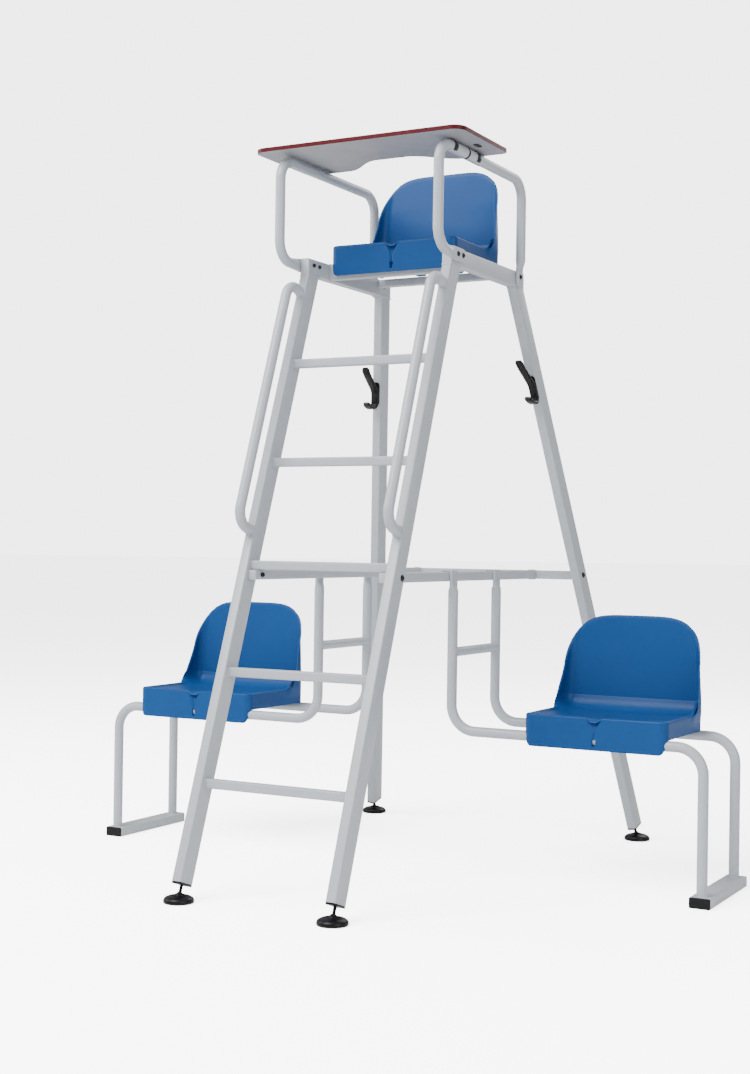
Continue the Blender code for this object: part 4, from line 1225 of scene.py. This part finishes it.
def add_rib(work, start, end):
    """A thin upright rib under the pan between two (across, depth) places."""
    half = 0.0011
    first = Vector(start)
    run = Vector(end) - first
    square = Vector((-run.y, run.x)).normalized() * half
    steps = 14
    rings = []
    for step in range(steps + 1):
        place = first + run * step / steps
        top = pan_height(place.x, place.y) - 0.0022
        bottom = max(0.046, top - 0.015)
        corners = ((place - square, bottom), (place + square, bottom),
                   (place + square, top), (place - square, top))
        rings.append([work.verts.new((spot.x, spot.y, height)) for spot, height in corners])
    for near, far in zip(rings, rings[1:]):
        join_rings(work, far, near)
    work.faces.new(rings[0])
    work.faces.new(rings[-1][::-1])


def shell_fittings():
    """What is moulded under the pan: a grid of ribs, and four lugs that stand on the frame."""
    work = bmesh.new()
    for across in (-0.150, -0.105, 0.0, 0.105, 0.150):
        add_rib(work, (across, 0.012), (across, 0.312))
    for depth in (0.075, 0.130, 0.185, 0.240, 0.285):
        add_rib(work, (-0.195, depth), (0.195, depth))
    for across in (-LUG_X, LUG_X):
        for depth in LUG_Y:
            top = pan_height(across, min(depth, 0.30)) - 0.002
            outline = rounded_rectangle(*LUG_SIZE, 0.004)
            flat_plate(work, outline, SHELL_SIDE_BOTTOM, top, 0.0008, Matrix.Translation((across, depth, 0)))
    return work


def make_shells():
    for name, body in (("main_seat_shell", "tower"), ("side_seat_left_shell", "side_seat_left"),
                       ("side_seat_right_shell", "side_seat_right")):
        low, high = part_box(name)
        place = Matrix.Translation(((low.x + high.x) / 2, low.y, low.z))
        skin = shell_skin()
        bmesh.ops.transform(skin, matrix=place, verts=skin.verts)
        solid = ("SOLIDIFY", {"thickness": SHELL_THICKNESS, "offset": -1})
        eased = ("BEVEL", {"width": 0.0011, "segments": 2, "limit_method": "ANGLE",
                           "angle_limit": math.radians(60)})
        finish_piece(f"{name}_moulding", skin, "blue_gloss_plastic", body, [name], (solid, eased), sharp=50)
        fittings = shell_fittings()
        bmesh.ops.transform(fittings, matrix=place, verts=fittings.verts)
        finish_piece(f"{name}_ribs", fittings, "blue_gloss_plastic", body)


# ---------------------------------------------------------------- side seats

def make_side_seat(side, sign):
    body = f"side_seat_{side}"
    rail_face = FRONT_X - LEG_WIDTH / 2 - GAP
    neck_x = rail_face + GAP + FLAT_THICKNESS / 2
    widen = FLAT_WIDTH / 2 / TUBE_RADIUS
    for end, across in SIDE_TUBE_Y.items():
        route = ((SIDE_INNER_X, NECK_TOP_Z), (SIDE_INNER_X, SIDE_LEVEL_Z),
                 (SIDE_OUTER_X, SIDE_LEVEL_Z), (SIDE_OUTER_X, FOOT_RAIL_HEIGHT))
        corners = [(sign * reach, across, height) for reach, height in route]
        points = stepped_start(rounded_path(corners, SIDE_BEND), 0.066)

        def shape(spot, sign=sign, across=across):
            if spot.z < NECK_Z - 0.002:
                return spot
            share = ramp(spot.z, NECK_Z, NECK_Z + NECK_RAMP)
            flat = Vector((sign * neck_x + pressed(spot.x - sign * SIDE_INNER_X, FLAT_THICKNESS / 2),
                           across + (spot.y - across) * widen, spot.z))
            return spot.lerp(flat, share)

        work = bmesh.new()
        sweep(work, points, circle(TUBE_RADIUS), (0, 1, 0), shape=shape)
        over = rail_face - MID_WIDTH - 0.0013
        top = NECK_TOP_Z - 0.0008
        corners = [(over, NECK_TOP_Z - 0.016), (over, top), (neck_x + 0.002, top)]
        line = [Vector((sign * reach, across, height)) for reach, height in corners]
        sweep(work, rounded_path(line, 0.003, 6), rounded_rectangle(0.034, 0.0018, 0.0006, 2), (0, 1, 0))
        weld(work, Matrix.Translation((sign * SIDE_OUTER_X, across, FOOT_RAIL_HEIGHT + 0.0006)),
             circle(TUBE_RADIUS + 0.0006))
        name = f"side_seat_{side}_{end}_tube"
        finish_piece(f"{name}_bent", work, "grey_powder_coat", body, [name])
    work = bmesh.new()
    ends = [Vector((sign * SIDE_INNER_X, SIDE_TUBE_Y[end], BRACE_Z)) for end in ("front", "rear")]
    sweep(work, ends, circle(BRACE_RADIUS), (0, 0, 1))
    for spot, run in zip(ends, (1, -1)):
        saddle_weld(work, spot, run)
    finish_piece(f"side_seat_{side}_brace_tube", work, "grey_powder_coat", body, [f"side_seat_{side}_brace"])
    make_foot_rail(side, sign, body)


def saddle_weld(work, spot, run):
    """The weld where the brace meets an upright: a ring that follows the upright's round side."""
    points = []
    scales = []
    count = 44
    for index in range(count):
        angle = 2 * math.pi * index / count
        x = (BRACE_RADIUS + 0.0004) * math.cos(angle)
        z = (BRACE_RADIUS + 0.0004) * math.sin(angle)
        y = math.sqrt(max(0.0, TUBE_RADIUS ** 2 - min(abs(x), 0.0142) ** 2))
        points.append(spot + Vector((x, run * (y + 0.0004), z)))
        scales.append(1.14 if index % 2 else 0.90)
    sweep(work, points, circle(0.0021, 8), (0, run, 0), True, scales)


def make_foot_rail(side, sign, body):
    front, rear = FOOT_RAIL_Y
    level = FOOT_RAIL_HEIGHT / 2
    work = bmesh.new()
    ends = [(sign * SIDE_OUTER_X, depth, level) for depth in (front + CAP_FLANGE, rear - CAP_FLANGE)]
    box_tube(work, *ends, FOOT_RAIL_WIDTH, FOOT_RAIL_HEIGHT, corner=0.004, closed=False)
    name = f"side_seat_{side}_foot_rail"
    finish_piece(f"{name}_tube", work, "grey_powder_coat", body, [name])
    for end, face, inward in (("front", front, 1), ("rear", rear, -1)):
        matrix = axes_at((sign * SIDE_OUTER_X, face, level), (0, inward, 0))
        outline = rounded_rectangle(FOOT_RAIL_WIDTH, FOOT_RAIL_HEIGHT, 0.004)
        work = bmesh.new()
        flat_plate(work, outline, 0.0, CAP_FLANGE, 0.0012, matrix)
        flat_plate(work, inset(outline, WALL + 0.0006), CAP_FLANGE, 0.020, 0.0006, matrix)
        name = f"side_seat_{side}_cap_{end}"
        finish_piece(f"{name}_moulded", work, "black_plastic", body, [name])


# ---------------------------------------------------------------- floor, light and camera

def split_by_ray(tree, lighting, seen, output):
    """The first shader lights the scene, and the camera's own rays see the second."""
    path = tree.nodes.new("ShaderNodeLightPath")
    choice = tree.nodes.new("ShaderNodeMixShader")
    tree.links.new(path.outputs["Is Camera Ray"], choice.inputs[0])
    tree.links.new(lighting.outputs[0], choice.inputs[1])
    tree.links.new(seen.outputs[0], choice.inputs[2])
    tree.links.new(choice.outputs[0], tree.nodes[output].inputs["Surface"])


def make_floor():
    """A pale paper floor, which the camera sees brighter than it lights the object."""
    mesh = bpy.data.meshes.new("studio_floor")
    work = bmesh.new()
    bmesh.ops.create_grid(work, x_segments=4, y_segments=4, size=120)
    work.to_mesh(mesh)
    work.free()
    floor = bpy.data.objects.new("studio_floor", mesh)
    SCENE.collection.objects.link(floor)
    material, tree, shader = shader_tree("studio_paper", (0.94, 0.94, 0.94), 0.75)
    tone = ramped(tree, add_noise(tree, 3, 2), ((0.3, 0.935), (0.7, 0.945)))
    tree.links.new(tone, shader.inputs["Base Color"])
    glow = tree.nodes.new("ShaderNodeEmission")
    glow.inputs["Strength"].default_value = FLOOR_GLOW
    seen = tree.nodes.new("ShaderNodeBsdfDiffuse")
    seen.inputs["Color"].default_value = (FLOOR_SEEN, FLOOR_SEEN, FLOOR_SEEN, 1.0)
    both = tree.nodes.new("ShaderNodeAddShader")
    tree.links.new(seen.outputs[0], both.inputs[0])
    tree.links.new(glow.outputs[0], both.inputs[1])
    split_by_ray(tree, shader, both, "Material Output")
    mesh.materials.append(material)


def make_world():
    """White all round, and brighter where the view sees it directly, as an overexposed backdrop is."""
    world = bpy.data.worlds.new("studio")
    SCENE.world = world
    world.use_nodes = True
    tree = world.node_tree
    lighting = tree.nodes["Background"]
    lighting.inputs["Color"].default_value = (1.0, 1.0, 1.0, 1.0)
    lighting.inputs["Strength"].default_value = WORLD_LIGHT
    backdrop = tree.nodes.new("ShaderNodeBackground")
    backdrop.inputs["Color"].default_value = (1.0, 1.0, 1.0, 1.0)
    backdrop.inputs["Strength"].default_value = BACKDROP_GLOW
    split_by_ray(tree, lighting, backdrop, "World Output")


def make_studio():
    make_floor()
    make_world()
    for name, place, size, power in SOFTBOXES:
        light = bpy.data.lights.new(name, "AREA")
        light.shape = "SQUARE"
        light.size = size
        light.energy = power
        lamp = bpy.data.objects.new(name, light)
        lamp.location = place
        aim = Vector((0, 0, 1.0)) - Vector(place)
        lamp.rotation_euler = aim.to_track_quat("-Z", "Y").to_euler()
        SCENE.collection.objects.link(lamp)


def make_camera():
    """A camera low on the right front, level to a quarter of a degree and rolled by less than one."""
    turn, tilt, roll = (math.radians(angle) for angle in CAMERA_ANGLES)
    look = Vector((-math.sin(turn) * math.cos(tilt), math.cos(turn) * math.cos(tilt), math.sin(tilt)))
    right = Vector((math.cos(turn), math.sin(turn), 0))
    up = right.cross(look)
    rolled_right = right * math.cos(roll) + up * math.sin(roll)
    rolled_up = up * math.cos(roll) - right * math.sin(roll)
    data = bpy.data.cameras.new("camera")
    data.lens = CAMERA_LENS
    data.clip_end = 100
    camera = bpy.data.objects.new("camera", data)
    axes = Matrix((rolled_right, rolled_up, -look)).transposed().to_4x4()
    camera.matrix_world = Matrix.Translation(CAMERA_PLACE) @ axes
    SCENE.collection.objects.link(camera)
    SCENE.camera = camera


make_camera()
make_studio()
make_legs()
make_rungs()
make_mid_rails()
make_seat_frame()
make_arms()
make_handrails()
make_rail_bolts()
make_hooks()
make_desk()
make_feet()
make_shells()
for side_name, side_sign in SIDES.items():
    make_side_seat(side_name, side_sign)
